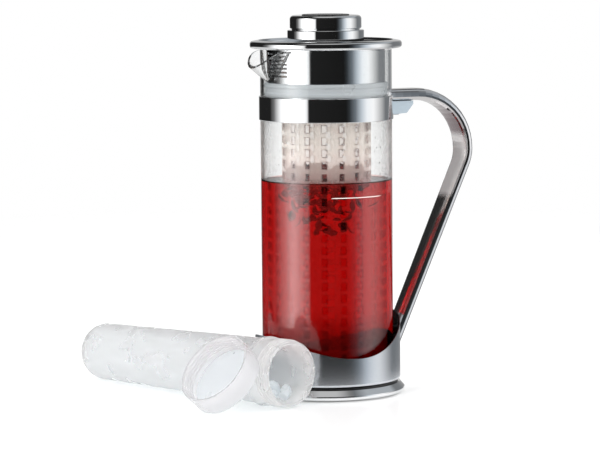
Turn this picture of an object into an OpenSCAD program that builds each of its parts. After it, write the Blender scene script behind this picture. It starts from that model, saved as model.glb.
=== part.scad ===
// Glass pitcher with a lift-out infuser and a separate screw-capped ice tube.
// Origin: centre of the underside of the base pad. +Z up, +X to the handle, spout at -X.

/* [Base] */
// Room between the glass and the wall of the base cup
cup_room = 4.3; // [3.5:0.1:6]
// Wall and floor thickness of the base cup
cup_wall = 1.2; // [0.8:0.1:2]
// Height of the cup rim at its two low places, above the table
cup_low_z = 31.9; // [24:0.5:45]
// Height of the cup rim at the handle, above the table
cup_high_z = 59.6; // [58.5:0.5:75]
// Height of the cup rim under the spout, above the table
cup_spout_z = 46.5; // [40:0.5:58]
// Radius of the bend between the cup floor and its wall
cup_bend = 3; // [2:0.5:5]
// How far the foot ring's widest place stands out from the cup's wall
foot_flare = 3.2; // [2:0.1:6]
// How far the foot ring's top stands in from the cup's wall
foot_top_in = 0.5; // [0.2:0.1:1.5]
// Radius of the round at the foot ring's widest place
foot_round = 2.5; // [1.5:0.25:3]
// Height of the foot ring's lower edge above the table
foot_lift = 1; // [0.5:0.1:1.5]
// Height of the foot ring's top above the table
foot_top_z = 8.3; // [7.5:0.1:10]
// Distance from the cup's wall in to the foot ring's bore
foot_w = 12.5; // [12:0.5:17]
// How far the rubber pad's edge stands in from the cup's wall
pad_in = 4; // [3:0.5:5]
// Thickness of the rubber pad
pad_t = 3; // [2:0.25:4]
// How far the dark ring between foot and cup stands in from the cup's wall
groove_in = 2.1; // [1.5:0.1:3]
// Height of the dark ring
groove_t = 1.2; // [0.8:0.1:2]
// How far the soft ring that the glass stands on is in from the glass's wall
seat_in = 7; // [6:0.5:14]
// Width of the soft ring
seat_w = 18; // [10:1:25]
// Thickness of the soft ring
seat_t = 3.5; // [2:0.25:5]

/* [Glass] */
// Outer radius of the glass
glass_r = 50; // [49:0.25:51]
// Wall thickness of the glass
glass_wall = 2.3; // [2:0.1:2.6]
// Thickness of the glass bottom
glass_floor = 4; // [3:0.5:6]
// Outer radius of the bend at the glass bottom
glass_bend = 9; // [7:0.5:12]
// Height of the glass rim above the table
glass_rim_z = 261.6; // [260:0.2:262]

/* [Spout] */
// How far the tip of the lip stands out from the glass
spout_reach = 12; // [10:0.2:16]
// How far the tip dips below the rim
spout_dip = 12.5; // [9:0.5:14]
// Half of the angle that the spout takes up on the rim
spout_half_angle = 27; // [23:1:30]
// Half of the angle at the point of the spout's cone
spout_cone_angle = 40; // [36:1:44]
// How far the spout's cone leans outward
spout_lean = 10; // [7:1:13]
// Radius of the spout where it leaves the wall
spout_nose_r = 0.5; // [0.3:0.1:1.5]

/* [Neck band] */
// Distance from the glass rim down to the band's lower edge
band_drop = 52.9; // [50:0.1:56]
// Width of the band
band_h = 18; // [15:0.5:19]
// Thickness of the band
band_t = 0.95; // [0.8:0.05:1.5]

/* [Handle] */
// Thickness of the handle tube
handle_t = 9.5; // [8:0.25:11]
// Width of the handle where it leaves the band
handle_w_top = 18; // [15:0.5:20]
// Width of the handle at its elbow
handle_w_elbow = 24; // [20:0.5:28]
// Width of the handle at its lower end
handle_w_foot = 19; // [16:0.5:22]
// Height of the middle of the handle's top run above the band's lower edge
handle_rise = 16.8; // [14:0.1:19]
// Length of the handle's level run, from the glass to the start of the top bend
handle_run = 25; // [20:1:35]
// Radius of the top bend, on the middle line
handle_bend = 43.5; // [36:0.5:50]
// Radius of the bend into the sloped grip, on the middle line
handle_grip_bend = 30; // [22:1:40]
// Height at which the grip's middle line meets the cup's wall
handle_meet_z = 36; // [30:0.5:40]
// Squareness of the tube section, 2 is an ellipse
handle_square = 2.6; // [2:0.1:4]
// Height of the bracket under the top run
bracket_h = 10.5; // [8:0.5:11.5]
// Width of the bracket
bracket_w = 11; // [8:0.5:14]
// Reach of the bracket from the band
bracket_x = 21; // [16:0.5:26]
// Reach of the bracket's underside from the band
bracket_under_x = 15.5; // [12:0.5:18]

/* [Fasteners] */
// Shank radius of the base and bracket screws
screw_r = 1.75; // [1.5:0.05:2]
// Head radius of the base and bracket screws
screw_head_r = 3.2; // [2.8:0.1:3.4]
// Head thickness of the base and bracket screws
screw_head_t = 1.8; // [1.4:0.1:2.2]
// Number of screws in the base
base_screw_count = 3; // [3:1:6]
// Distance from the cup's wall in to the base screws
base_screw_in = 8.2; // [7.9:0.1:8.7]
// Across flats of the base nuts
nut_flats = 5.6; // [5:0.1:6]
// Thickness of the base nuts
nut_t = 2.4; // [1.8:0.1:2.8]
// Distance between the two screws at the handle's foot
foot_screw_pitch = 7.4; // [7:0.2:8]
// Depth of the foot screws in the handle
foot_screw_depth = 4; // [3:0.25:4.25]
// Depth of the bracket screw in the handle
bracket_screw_depth = 6; // [4:0.5:7]

/* [Seal and strainer] */
// Distance from the glass rim down to the seal's lower face
seal_drop = 34.6; // [31:0.1:34.6]
// Height of the seal ring
seal_h = 10; // [8:0.5:11]
// Depth of the groove between the seal's two lips
seal_groove = 1.2; // [0.6:0.1:1.6]
// Room between the glass and the steel collar under the lid
collar_in = 2.7; // [2.5:0.1:3.7]
// Wall thickness of the collar
collar_wall = 1; // [0.8:0.1:1.5]
// How far the collar steps in where it passes the seal
collar_neck_in = 1.6; // [1.4:0.1:2.5]
// How far the lip under the seal stands out from the collar
collar_lip_out = 1; // [0:0.1:1.5]
// Radius of the bead under the lid
bead_r = 0.9; // [0.6:0.1:1.2]
// Number of rows of slots in the strainer
strainer_rows = 7; // [3:1:7]
// Distance from row to row
strainer_pitch = 3; // [2.5:0.1:3.2]
// Height of one slot
strainer_slot = 1.5; // [0.8:0.1:1.8]
// Half of the angle that the slots take up
strainer_half_angle = 24; // [16:1:40]
// Height of the lowest slot above the collar's step
strainer_lift = 4; // [3:0.5:5]

/* [Lid] */
// How far the lid plate stands out from the glass
lid_over = 8.25; // [6:0.25:12]
// Height of the underside of the lid plate above the glass rim
lid_rise = 3.4; // [2.4:0.2:5]
// Thickness of the lid plate
lid_t = 1.2; // [0.8:0.1:2]
// Radius of the upturned rim
lid_turn_r = 6; // [4:0.25:8]
// Inner radius of the threaded socket under the lid
socket_bore_r = 26.3; // [26:0.1:28]
// Outer radius of the socket's skirt
socket_r = 30; // [29.5:0.1:30.5]
// Outer radius of the socket's flange
socket_flange_r = 36; // [35.5:0.25:38]
// Thickness of the socket's flange
socket_flange_t = 3; // [2:0.25:4]
// Length of the socket's skirt below its flange
socket_h = 16; // [12:0.5:17]
// Thickness of the gasket above the flange
gasket_t = 1; // [0.8:0.1:1.5]
// Number of small screws that hold the socket
socket_screw_count = 3; // [3:1:6]
// Shank radius of the socket screws
socket_screw_r = 1.2; // [1:0.05:1.3]
// Head radius of the socket screws
socket_screw_head_r = 2.2; // [1.8:0.1:2.3]
// Head thickness of the socket screws
socket_screw_head_t = 1.4; // [1:0.1:1.6]

/* [Knob] */
// Radius of the step under the knob
knob_step_r = 29.1; // [28:0.25:32]
// Height of the step above the lid plate
knob_step_h = 10.3; // [8:0.1:12]
// Radius of the narrow groove between step and drum
knob_groove_r = 25.8; // [24:0.1:26]
// Height of the groove
knob_groove_h = 0.9; // [0.6:0.1:1.5]
// Radius of the knob's drum
knob_r = 27.2; // [26.5:0.1:29]
// Height of the drum
knob_h = 10.2; // [8:0.1:14]
// Radius of the drum's shoulder
knob_round = 3; // [2:0.25:4]
// Radius of the raised disc on the knob
disc_r = 18; // [14:0.5:20]
// How far the disc stands out of the drum
disc_h = 2.1; // [1.2:0.1:3]
// Depth of the disc's seat in the drum
disc_sink = 1.2; // [0.8:0.1:1.6]
// Edge round of the disc and of the knob's step
disc_round = 0.8; // [0.4:0.1:1]
// Shank radius of the knob's screw
knob_screw_r = 3; // [2:0.1:3.5]
// Head radius of the knob's screw
knob_screw_head_r = 6; // [5:0.1:6.5]
// Head thickness of the knob's screw
knob_screw_head_t = 3.4; // [2.5:0.1:4]

/* [Infuser] */
// Outer radius of the infuser
infuser_r = 34; // [33:0.25:36]
// Wall thickness of the infuser
infuser_wall = 1.6; // [1.2:0.1:2]
// Height of the infuser's lower edge
infuser_z = 30; // [28:0.5:36]
// Height of the coupling's flange
coupling_t = 3; // [2:0.25:4]
// Outer radius of the coupling's threaded neck
coupling_r = 25.6; // [25:0.1:25.7]
// Wall thickness of the coupling's neck and spigots
coupling_wall = 2.6; // [2:0.1:3]
// Depth of a spigot in the infuser
spigot_h = 7; // [5:0.5:9]
// Number of slots round the infuser
slot_columns = 16; // [12:2:18]
// Least distance from the infuser's top down to the middle of a slot
slot_top_room = 20; // [14:0.5:30]
// Distance from row to row
slot_pitch = 9.1; // [8.8:0.1:9.8]
// Width of a slot
slot_w = 3.6; // [3:0.1:5]
// Height of a slot
slot_h = 5.4; // [4:0.1:6.5]
// Height of the first row above the infuser's lower edge
slot_lift = 27.5; // [20:0.5:30]
// Turn of the slots about the infuser's axis
slot_turn = 4.5; // [0:0.5:22]
// Thickness of the infuser's bottom cap
end_cap_t = 3; // [2:0.25:4]
// Number of drain holes in the bottom cap
drain_count = 8; // [4:1:10]
// Radius of a drain hole
drain_r = 2.2; // [1.5:0.1:3]

/* [Ice tube] */
// Length of the ice tube
tube_len = 228; // [200:1:250]
// Radius at the closed end
tube_end_r = 22; // [20:0.25:23]
// Radius at the shoulder
tube_r = 24.4; // [23.5:0.1:25]
// Wall thickness of the tube
tube_wall = 2.2; // [1.8:0.1:2.6]
// Radius of the bend round the closed end
tube_bend = 15; // [10:0.5:18]
// Outer radius of the neck between the thread's turns
neck_r = 24.2; // [23.8:0.1:24.4]
// Length of the neck
neck_len = 24; // [20:0.5:28]
// Outer radius of the stop ring below the thread
stop_r = 26; // [25.5:0.1:26.5]
// Height of the stop ring
stop_h = 2.4; // [1.6:0.1:3]
// Height of one turn of the thread
thread_pitch = 3.6; // [3:0.1:3.8]
// Number of turns of the thread
thread_turns = 4; // [2:1:4]
// How far the thread stands out
thread_depth = 1.1; // [0.8:0.1:1.3]
// Angle of the tube's line on the table
tube_angle = -72.9; // [-80:0.5:-60]
// How far the tube's mouth reaches past its nearest point to the base
tube_reach = 45; // [30:1:60]

/* [Ice] */
// Distance from the tube's mouth back to the ice
ice_front = 47; // [46:0.5:80]
// Steepest slant of the broken front of the ice
ice_break_angle = 30; // [10:1:40]

/* [Tube cap] */
// Outer radius of the cap
cap_r = 29; // [28.8:0.1:31]
// Depth of the cap
cap_h = 18; // [17.5:0.5:22]
// Wall thickness of the cap
cap_wall = 2; // [1.6:0.1:2.2]
// Thickness of the liner in the cap
liner_t = 1.4; // [1:0.1:2]
// How far the cap leans back, its opening's angle above level
cap_lean = 40; // [30:1:44]
// Place of the cap's middle behind the tube's mouth
cap_along = 28.5; // [0:0.5:40]

/* [Fits] */
// Running gap between pieces that move on each other
run_gap = 0.3; // [0.2:0.05:0.4]
// Gap between round pieces that are fixed to each other
fit_gap = 0.1; // [0.05:0.05:0.15]
// Gap round a screw's shank
hole_gap = 0.2; // [0.1:0.05:0.3]

/* [Hidden] */

cut = 1;
round_fn = 96;
small_fn = 48;

// Heights of the stack in the base
groove_top_z = foot_top_z + groove_t;
cup_floor_z = groove_top_z + cup_wall;
glass_z = cup_floor_z + seat_t;

// Glass
glass_in_r = glass_r - glass_wall;

// Base: its pieces follow the cup's wall, which follows the glass
cup_r = glass_r + cup_room + cup_wall;
foot_r = cup_r + foot_flare;
foot_top_r = cup_r - foot_top_in;
foot_bore_r = cup_r - foot_w;
pad_r = cup_r - pad_in;
groove_r = cup_r - groove_in;
seat_r = glass_r - seat_in;
base_screw_ring_r = cup_r - base_screw_in;

// Spout: a leaning cone whose outer line meets the tip of the lip
spout_edge_x = glass_r * cos(spout_half_angle);
spout_tip_x = glass_r + spout_reach;
spout_tip_z = glass_rim_z - spout_dip;
spout_slope = spout_lean + spout_cone_angle;
spout_point_x = glass_in_r - glass_wall;
spout_point_z = spout_tip_z - (spout_tip_x - spout_point_x) / tan(spout_slope);
spout_cone_h = 1.5 * (glass_rim_z - spout_point_z);

// Neck band and handle: the band hangs from the glass rim, and the handle from the band
band_z = glass_rim_z - band_drop;
handle_top_z = band_z + handle_rise;
handle_run_x = glass_r + handle_run;

// Seal and collar
collar_r = glass_in_r - collar_in;
collar_neck_r = collar_r - collar_neck_in;
collar_lip_r = collar_r + collar_lip_out;
seal_z = glass_rim_z - seal_drop;
seal_r = glass_in_r - run_gap;
seal_bore_r = collar_neck_r + run_gap;
collar_step_z = seal_z + seal_h + run_gap;
collar_lip_t = collar_wall;
collar_bottom_z = seal_z - run_gap - collar_lip_t;

// Lid stack
lid_r = glass_r + lid_over;
lid_z = glass_rim_z + lid_rise;
lid_top_z = lid_z + lid_t;
socket_top_z = lid_z - gasket_t;
socket_flange_z = socket_top_z - socket_flange_t;
socket_z = socket_flange_z - socket_h;
socket_hole_r = knob_screw_head_r + hole_gap;
socket_screw_ring_r = (socket_r + socket_flange_r) / 2;
knob_step_z = lid_top_z + knob_step_h;
knob_drum_z = knob_step_z + knob_groove_h;
knob_top_z = knob_drum_z + knob_h;
knob_screw_top_z = knob_top_z - disc_sink - knob_round;

// Infuser stack
infuser_top_z = socket_z - run_gap - coupling_t;
coupling_top_z = socket_flange_z - run_gap;
spigot_r = infuser_r - infuser_wall - fit_gap;
end_spigot_r = infuser_r - infuser_wall - run_gap;
slot_rows = 1 + floor((infuser_top_z - infuser_z - slot_lift - slot_top_room) / slot_pitch);
end_cap_gap = fit_gap;
end_cap_z = infuser_z - end_cap_gap - end_cap_t;

// Ice tube on the table: it lies on its closed end and on its stop ring
stop_z = tube_len - neck_len - stop_h;
tube_tilt = atan((stop_r - tube_end_r) / (stop_z - tube_bend));
tube_side = max(cup_r + tube_r + run_gap,
  sqrt(pow(cup_r + stop_r + run_gap, 2) - pow(tube_reach - neck_len - stop_h, 2)));
tube_mouth_h = stop_r * cos(tube_tilt) + (tube_len - stop_z) * sin(tube_tilt);

// Cap: its back leans on the stop ring
cap_axis_h = stop_r;
cap_foot_out = ((stop_r + run_gap) + cap_axis_h * sin(cap_lean)) / cos(cap_lean);

// Points of an arc, from angle a0 to a1, about the middle c
function arc(c, r, a0, a1, n) =
  [for (i = [0:n]) c + r * [cos(a0 + (a1 - a0) * i / n), sin(a0 + (a1 - a0) * i / n)]];

// A smooth step from 0 to 1
function ease(t) = t <= 0 ? 0 : t >= 1 ? 1 : t * t * (3 - 2 * t);

// A solid between loops of points, each loop with the same number of points
module loft(loops) {
  n = len(loops[0]);
  m = len(loops);
  points = [for (l = loops) for (p = l) p];
  sides = [for (i = [0:m - 2]) for (j = [0:n - 1]) for (k = [0:1])
    k == 0
      ? [i * n + j, (i + 1) * n + j, (i + 1) * n + (j + 1) % n]
      : [i * n + j, (i + 1) * n + (j + 1) % n, i * n + (j + 1) % n]];
  first = [[for (j = [0:n - 1]) j]];
  last = [[for (j = [n - 1:-1:0]) (m - 1) * n + j]];
  polyhedron(points = points, faces = concat(first, sides, last));
}

// A ring with square edges
module ring(r_out, r_in, h) {
  difference() {
    cylinder(r = r_out, h = h, $fn = round_fn);
    translate([0, 0, -cut]) cylinder(r = r_in, h = h + 2 * cut, $fn = round_fn);
  }
}

// A pin with a flat head below it, pointing up
module screw(r, l, head_r, head_t) {
  translate([0, 0, -head_t]) cylinder(r = head_r, h = head_t, $fn = small_fn);
  cylinder(r = r, h = l, $fn = small_fn);
}

// Copies round the axis
module round_array(count, r) {
  for (i = [0:count - 1]) rotate([0, 0, 360 * (i + 0.5) / count]) translate([r, 0, 0]) children();
}

// Base

module base_pad() {
  color("#1c1c1e") cylinder(r = pad_r, h = pad_t, $fn = round_fn);
}

module foot_ring() {
  widest_z = foot_lift + foot_round;
  lower = arc([foot_r - foot_round, widest_z], foot_round, -90, 20, 10);
  color("#d9dade") difference() {
    rotate_extrude($fn = round_fn) polygon(concat(
      [[foot_bore_r, pad_t], [pad_r + fit_gap, pad_t], [pad_r + fit_gap, foot_lift]],
      lower,
      [[foot_top_r, foot_top_z], [foot_bore_r, foot_top_z]]));
    round_array(base_screw_count, base_screw_ring_r) {
      cylinder(r = screw_r + hole_gap, h = foot_top_z + cut, $fn = small_fn);
      translate([0, 0, pad_t - cut])
        cylinder(r = screw_head_r + hole_gap, h = screw_head_t + cut, $fn = small_fn);
    }
  }
}

module groove_ring() {
  color("#18181a") translate([0, 0, foot_top_z]) difference() {
    ring(groove_r, foot_bore_r, groove_t);
    round_array(base_screw_count, base_screw_ring_r) translate([0, 0, -cut])
      cylinder(r = screw_r + hole_gap, h = groove_t + 2 * cut, $fn = small_fn);
  }
}

module base_screws() {
  length = cup_floor_z + nut_t - pad_t - screw_head_t;
  color("#b9bbc0") round_array(base_screw_count, base_screw_ring_r)
    translate([0, 0, pad_t + screw_head_t]) screw(screw_r, length, screw_head_r, screw_head_t);
}

module base_nuts() {
  color("#b9bbc0") round_array(base_screw_count, base_screw_ring_r)
    translate([0, 0, cup_floor_z]) difference() {
      cylinder(r = nut_flats / 2 / cos(30), h = nut_t, $fn = 6);
      translate([0, 0, -cut]) cylinder(r = screw_r + fit_gap, h = nut_t + 2 * cut, $fn = small_fn);
    }
}

// The cup's rim falls and rises twice round the glass: seen from the side it is a parabola,
// with a lower arm under the spout
module cup_wave_cut() {
  half = cup_r + cut;
  steps = 48;
  top = cup_high_z + (cup_high_z - cup_low_z);
  wave = [for (i = [0:steps]) let (x = half * (2 * i / steps - 1), peak = x > 0 ? cup_high_z : cup_spout_z)
    [x, cup_low_z + (peak - cup_low_z) * pow(x / cup_r, 2)]];
  rotate([90, 0, 0]) linear_extrude(height = 2 * half, center = true)
    polygon(concat(wave, [[half, top], [-half, top]]));
}

module base_cup() {
  in_r = cup_r - cup_wall;
  outer = arc([cup_r - cup_bend, groove_top_z + cup_bend], cup_bend, -90, 0, 8);
  inner = arc([in_r - (cup_bend - cup_wall), groove_top_z + cup_bend], cup_bend - cup_wall, 0, -90, 8);
  color("#c3c4c6") difference() {
    rotate_extrude($fn = round_fn) polygon(concat(
      [[0, groove_top_z]], outer,
      [[cup_r, cup_high_z], [in_r, cup_high_z]],
      inner, [[0, cup_floor_z]]));
    cup_wave_cut();
    round_array(base_screw_count, base_screw_ring_r) translate([0, 0, groove_top_z - cut])
      cylinder(r = screw_r + hole_gap, h = cup_wall + 2 * cut, $fn = small_fn);
    handle_foot_holes(screw_r + hole_gap);
  }
}

module glass_seat() {
  color("#e6e8e8") translate([0, 0, cup_floor_z]) ring(seat_r, seat_r - seat_w, seat_t);
}

// Glass

// The cone of the spout, moved along its axis by a wall where it is the hollow
module spout_cone(wall) {
  translate([-spout_point_x, 0, spout_point_z]) rotate([0, -spout_lean, 0])
    translate([0, 0, wall / sin(spout_cone_angle)])
      cylinder(r1 = spout_nose_r, r2 = spout_nose_r + spout_cone_h * tan(spout_cone_angle),
        h = spout_cone_h, $fn = round_fn);
}

// What lies above the lip: the cut leaves the rim level and falls ever more steeply to the tip
module spout_lip_cut() {
  steps = 16;
  fall = spout_tip_x - spout_edge_x;
  past_share = 1.5;
  lip = [for (i = [0:steps]) let (t = past_share * i / steps)
    [-spout_edge_x - fall * t, glass_rim_z - spout_dip * pow(t, 2)]];
  top = glass_rim_z + spout_cone_h;
  rotate([90, 0, 0]) linear_extrude(height = 2 * spout_tip_x, center = true)
    polygon(concat(lip, [[-spout_edge_x - fall * past_share, top], [-spout_edge_x, top]]));
}

module glass_beaker() {
  in_bend = glass_bend - glass_wall;
  outer = arc([glass_r - glass_bend, glass_z + glass_bend], glass_bend, -90, 0, 10);
  inner = arc([glass_in_r - in_bend, glass_z + glass_floor + in_bend], in_bend, 0, -90, 10);
  below = spout_point_z - 2 * glass_wall;
  color("#dfe8e8", 0.4) difference() {
    union() {
      rotate_extrude($fn = round_fn)
        polygon(concat([[0, glass_z]], outer, [[glass_r, glass_rim_z], [0, glass_rim_z]]));
      intersection() {
        spout_cone(0);
        translate([-1.1 * spout_tip_x, -glass_r, below])
          cube([0.6 * spout_tip_x, 2 * glass_r, glass_rim_z - below]);
      }
    }
    rotate_extrude($fn = round_fn) polygon(concat(
      [[0, glass_rim_z + cut], [glass_in_r, glass_rim_z + cut]],
      inner, [[0, glass_z + glass_floor]]));
    spout_cone(glass_wall);
    spout_lip_cut();
  }
}

// Neck band and handle

module neck_band() {
  round = band_t / 2;
  in_r = glass_r + fit_gap;
  top = arc([in_r + round, band_z + band_h - round], round, 0, 180, 6);
  foot = arc([in_r + round, band_z + round], round, 180, 360, 6);
  color("#dcdde0") rotate_extrude($fn = round_fn) polygon(concat(top, foot));
}

// Middle line of the handle, as points with the direction of travel, in the XZ plane
handle_elbow = [handle_run_x, handle_top_z - handle_bend];
handle_grip_mid = handle_elbow + [handle_bend - handle_grip_bend, 0];
// The grip leans so that its middle line, touching the grip's bend, meets the cup's wall at its height
handle_to_foot = handle_grip_mid - [cup_r, handle_meet_z];
handle_lean = atan2(handle_to_foot[0], handle_to_foot[1]) + asin(handle_grip_bend / norm(handle_to_foot));
handle_grip_top = handle_grip_mid + handle_grip_bend * [cos(handle_lean), -sin(handle_lean)];
handle_in_x = cup_r - 6 * cup_wall;
handle_grip_len = (handle_grip_top[0] - handle_in_x) / sin(handle_lean);
handle_line = concat(
  [for (t = [0:0.25:0.75]) [[glass_r - 2 * band_t + (handle_run_x - glass_r + 2 * band_t) * t, handle_top_z], 0]],
  [for (i = [0:12]) let (a = 90 * i / 12)
    [handle_elbow + handle_bend * [sin(a), cos(a)], -a]],
  [for (i = [1:4]) let (a = handle_lean * i / 4)
    [handle_grip_mid + handle_grip_bend * [cos(a), -sin(a)], -90 - a]],
  [for (i = [1:8]) [handle_grip_top - handle_grip_len * i / 8 * [sin(handle_lean), cos(handle_lean)],
    -90 - handle_lean]]);

// Width of the tube at a share of the way along its line
function handle_width(t) = t < 0.45
  ? handle_w_top + (handle_w_elbow - handle_w_top) * ease(t / 0.45)
  : handle_w_elbow + (handle_w_foot - handle_w_elbow) * ease((t - 0.45) / 0.55);

// A rounded flat section across the line at a point
function handle_section(p, w) =
  let (n = 24, dir = [-sin(p[1]), cos(p[1])])
  [for (i = [0:n - 1]) let (
      a = 360 * i / n,
      across = sign(cos(a)) * pow(abs(cos(a)), 2 / handle_square) * handle_t / 2,
      side = sign(sin(a)) * pow(abs(sin(a)), 2 / handle_square) * w / 2)
    [p[0][0] + dir[0] * across, side, p[0][1] + dir[1] * across]];

// Where the grip's inner face meets the cup's wall, and the heights of the two screws below it
handle_foot_z = handle_grip_top[1] - (handle_grip_top[0] - cup_r) / tan(handle_lean)
  + handle_t / 2 / sin(handle_lean);
foot_screw_zs = [for (i = [0:1]) handle_foot_z - screw_head_r - foot_screw_pitch * i];

module handle_foot_holes(r) {
  for (z = foot_screw_zs) translate([cup_r - 2 * cup_wall, 0, z])
    rotate([0, 90, 0]) cylinder(r = r, h = 2 * cup_wall + foot_screw_depth + hole_gap, $fn = small_fn);
}

module handle() {
  last = len(handle_line) - 1;
  color("#e2e3e6") difference() {
    loft([for (i = [0:last]) handle_section(handle_line[i], handle_width(i / last))]);
    cylinder(r = cup_r + fit_gap, h = cup_high_z + handle_t, $fn = round_fn);
    translate([0, 0, band_z - handle_t])
      cylinder(r = glass_r + band_t + 2 * fit_gap, h = band_h + 3 * handle_t, $fn = round_fn);
    handle_foot_holes(screw_r + hole_gap);
    translate([bracket_screw_x, 0, bracket_z])
      cylinder(r = screw_r + hole_gap, h = bracket_h + bracket_screw_depth + cut, $fn = small_fn);
  }
}

bracket_top_z = handle_top_z - handle_t / 2 - fit_gap;
bracket_z = bracket_top_z - bracket_h;
bracket_in_x = glass_r + band_t + 2 * fit_gap;
bracket_screw_x = bracket_in_x + bracket_under_x / 2;

// A wedge: its outer end slants back under the handle
module handle_bracket() {
  lip = bracket_h / 4;
  color("#aab4c0") difference() {
    translate([0, bracket_w / 2, 0]) rotate([90, 0, 0]) linear_extrude(height = bracket_w)
      polygon([[glass_r, bracket_z], [bracket_in_x + bracket_under_x, bracket_z + lip / 2],
        [bracket_in_x + bracket_x, bracket_top_z - lip], [bracket_in_x + bracket_x, bracket_top_z],
        [glass_r, bracket_top_z]]);
    translate([0, 0, bracket_z - cut])
      cylinder(r = bracket_in_x, h = bracket_h + 2 * cut, $fn = round_fn);
    translate([bracket_screw_x, 0, bracket_z - cut]) {
      cylinder(r = screw_r + hole_gap, h = bracket_h + 2 * cut, $fn = small_fn);
      cylinder(r = screw_head_r + hole_gap, h = screw_head_t + cut, $fn = small_fn);
    }
  }
}

module bracket_screw() {
  length = bracket_h - screw_head_t + bracket_screw_depth;
  color("#9fa2a8") translate([bracket_screw_x, 0, bracket_z + screw_head_t])
    screw(screw_r, length, screw_head_r, screw_head_t);
}

module handle_foot_screws() {
  in_r = cup_r - cup_wall;
  head_x = sqrt(pow(in_r, 2) - pow(screw_head_r, 2)) - fit_gap;
  color("#b9bbc0") for (z = foot_screw_zs) translate([head_x, 0, z])
    rotate([0, 90, 0]) screw(screw_r, foot_screw_depth + cup_wall, screw_head_r, screw_head_t);
}

// Seal and strainer

module seal_ring() {
  lip = seal_h / 4;
  color("#cfd3d4", 0.7) translate([0, 0, seal_z]) rotate_extrude($fn = round_fn) polygon([
    [seal_bore_r, 0], [seal_r - seal_groove, 0], [seal_r, lip / 2], [seal_r, lip],
    [seal_r - seal_groove, 2 * lip - lip / 2], [seal_r - seal_groove, 2 * lip + lip / 2],
    [seal_r, 3 * lip], [seal_r, 3 * lip + lip / 2], [seal_r - seal_groove, seal_h],
    [seal_bore_r, seal_h]]);
}

module strainer_collar() {
  wide_in_r = collar_r - collar_wall;
  neck_in_r = collar_neck_r - collar_wall;
  slot_reach = 2 * collar_r * sin(strainer_half_angle);
  color("#d4d6d9") difference() {
    union() {
      rotate_extrude($fn = round_fn) polygon([
        [neck_in_r, collar_bottom_z], [collar_lip_r, collar_bottom_z],
        [collar_lip_r, collar_bottom_z + collar_lip_t], [collar_neck_r, collar_bottom_z + collar_lip_t],
        [collar_neck_r, collar_step_z], [collar_r, collar_step_z], [collar_r, lid_z],
        [wide_in_r, lid_z], [wide_in_r, collar_step_z + collar_wall],
        [neck_in_r, collar_step_z + collar_wall]]);
      rotate_extrude($fn = round_fn) translate([collar_r - bead_r / 4, lid_z - bead_r])
        circle(r = bead_r, $fn = small_fn);
    }
    for (i = [0:strainer_rows - 1])
      translate([-collar_r, 0, collar_step_z + strainer_lift + strainer_pitch * (i + 0.5)])
        cube([collar_r * 2 / 3, slot_reach, strainer_slot], center = true);
  }
}

// Lid

module lid_plate() {
  c = [lid_r - lid_turn_r, lid_z + lid_turn_r];
  under = arc(c, lid_turn_r, -90, 0, 12);
  edge = arc([lid_r - lid_t / 2, c[1]], lid_t / 2, 0, 180, 6);
  over = arc(c, lid_turn_r - lid_t, 0, -90, 12);
  color("#d2d3d6") rotate_extrude($fn = round_fn) polygon(concat(
    [[knob_screw_r + hole_gap, lid_z]], under, edge, over,
    [[knob_screw_r + hole_gap, lid_top_z]]));
}

module socket_screw_bores(z, h) {
  round_array(socket_screw_count, socket_screw_ring_r) translate([0, 0, z - cut])
    cylinder(r = socket_screw_r + hole_gap, h = h + 2 * cut, $fn = small_fn);
}

module lid_gasket() {
  color("#dfe1e1") difference() {
    translate([0, 0, socket_top_z]) ring(socket_flange_r, socket_hole_r, gasket_t);
    socket_screw_bores(socket_top_z, gasket_t);
  }
}

module lid_socket() {
  color("#e4e6e6") difference() {
    union() {
      translate([0, 0, socket_flange_z]) ring(socket_flange_r, socket_hole_r, socket_flange_t);
      translate([0, 0, socket_z]) ring(socket_r, socket_bore_r, socket_h + cut);
    }
    socket_screw_bores(socket_flange_z, socket_flange_t);
  }
}

module socket_screws() {
  color("#b9bbc0") round_array(socket_screw_count, socket_screw_ring_r)
    translate([0, 0, socket_flange_z])
      screw(socket_screw_r, socket_flange_t + gasket_t, socket_screw_head_r, socket_screw_head_t);
}

// Knob

module knob_step() {
  edge = arc([knob_step_r - disc_round, knob_step_z - disc_round], disc_round, 0, 90, 6);
  color("#cfd0d3") rotate_extrude($fn = round_fn) polygon(concat(
    [[knob_screw_r + hole_gap, lid_top_z], [knob_step_r, lid_top_z]], edge,
    [[knob_screw_r + hole_gap, knob_step_z]]));
}

module knob_drum() {
  shoulder = arc([knob_r - knob_round, knob_top_z - knob_round], knob_round, 0, 90, 8);
  seat_in_r = disc_r + fit_gap;
  color("#d6d7da") rotate_extrude($fn = round_fn) polygon(concat(
    [[knob_screw_r + fit_gap, knob_step_z], [knob_groove_r, knob_step_z], [knob_groove_r, knob_drum_z],
      [knob_r - disc_round, knob_drum_z], [knob_r, knob_drum_z + disc_round]],
    shoulder,
    [[seat_in_r, knob_top_z], [seat_in_r, knob_top_z - disc_sink], [0, knob_top_z - disc_sink],
      [0, knob_screw_top_z + fit_gap], [knob_screw_r + fit_gap, knob_screw_top_z + fit_gap]]));
}

module knob_disc() {
  top = knob_top_z + disc_h;
  edge = arc([disc_r - disc_round, top - disc_round], disc_round, 0, 90, 6);
  color("#35363a") rotate_extrude($fn = round_fn) polygon(concat(
    [[0, knob_top_z - disc_sink], [disc_r, knob_top_z - disc_sink]], edge, [[0, top]]));
}

module knob_screw() {
  color("#a6a8ad") translate([0, 0, lid_z])
    screw(knob_screw_r, knob_screw_top_z - lid_z, knob_screw_head_r, knob_screw_head_t);
}

// Infuser

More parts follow.
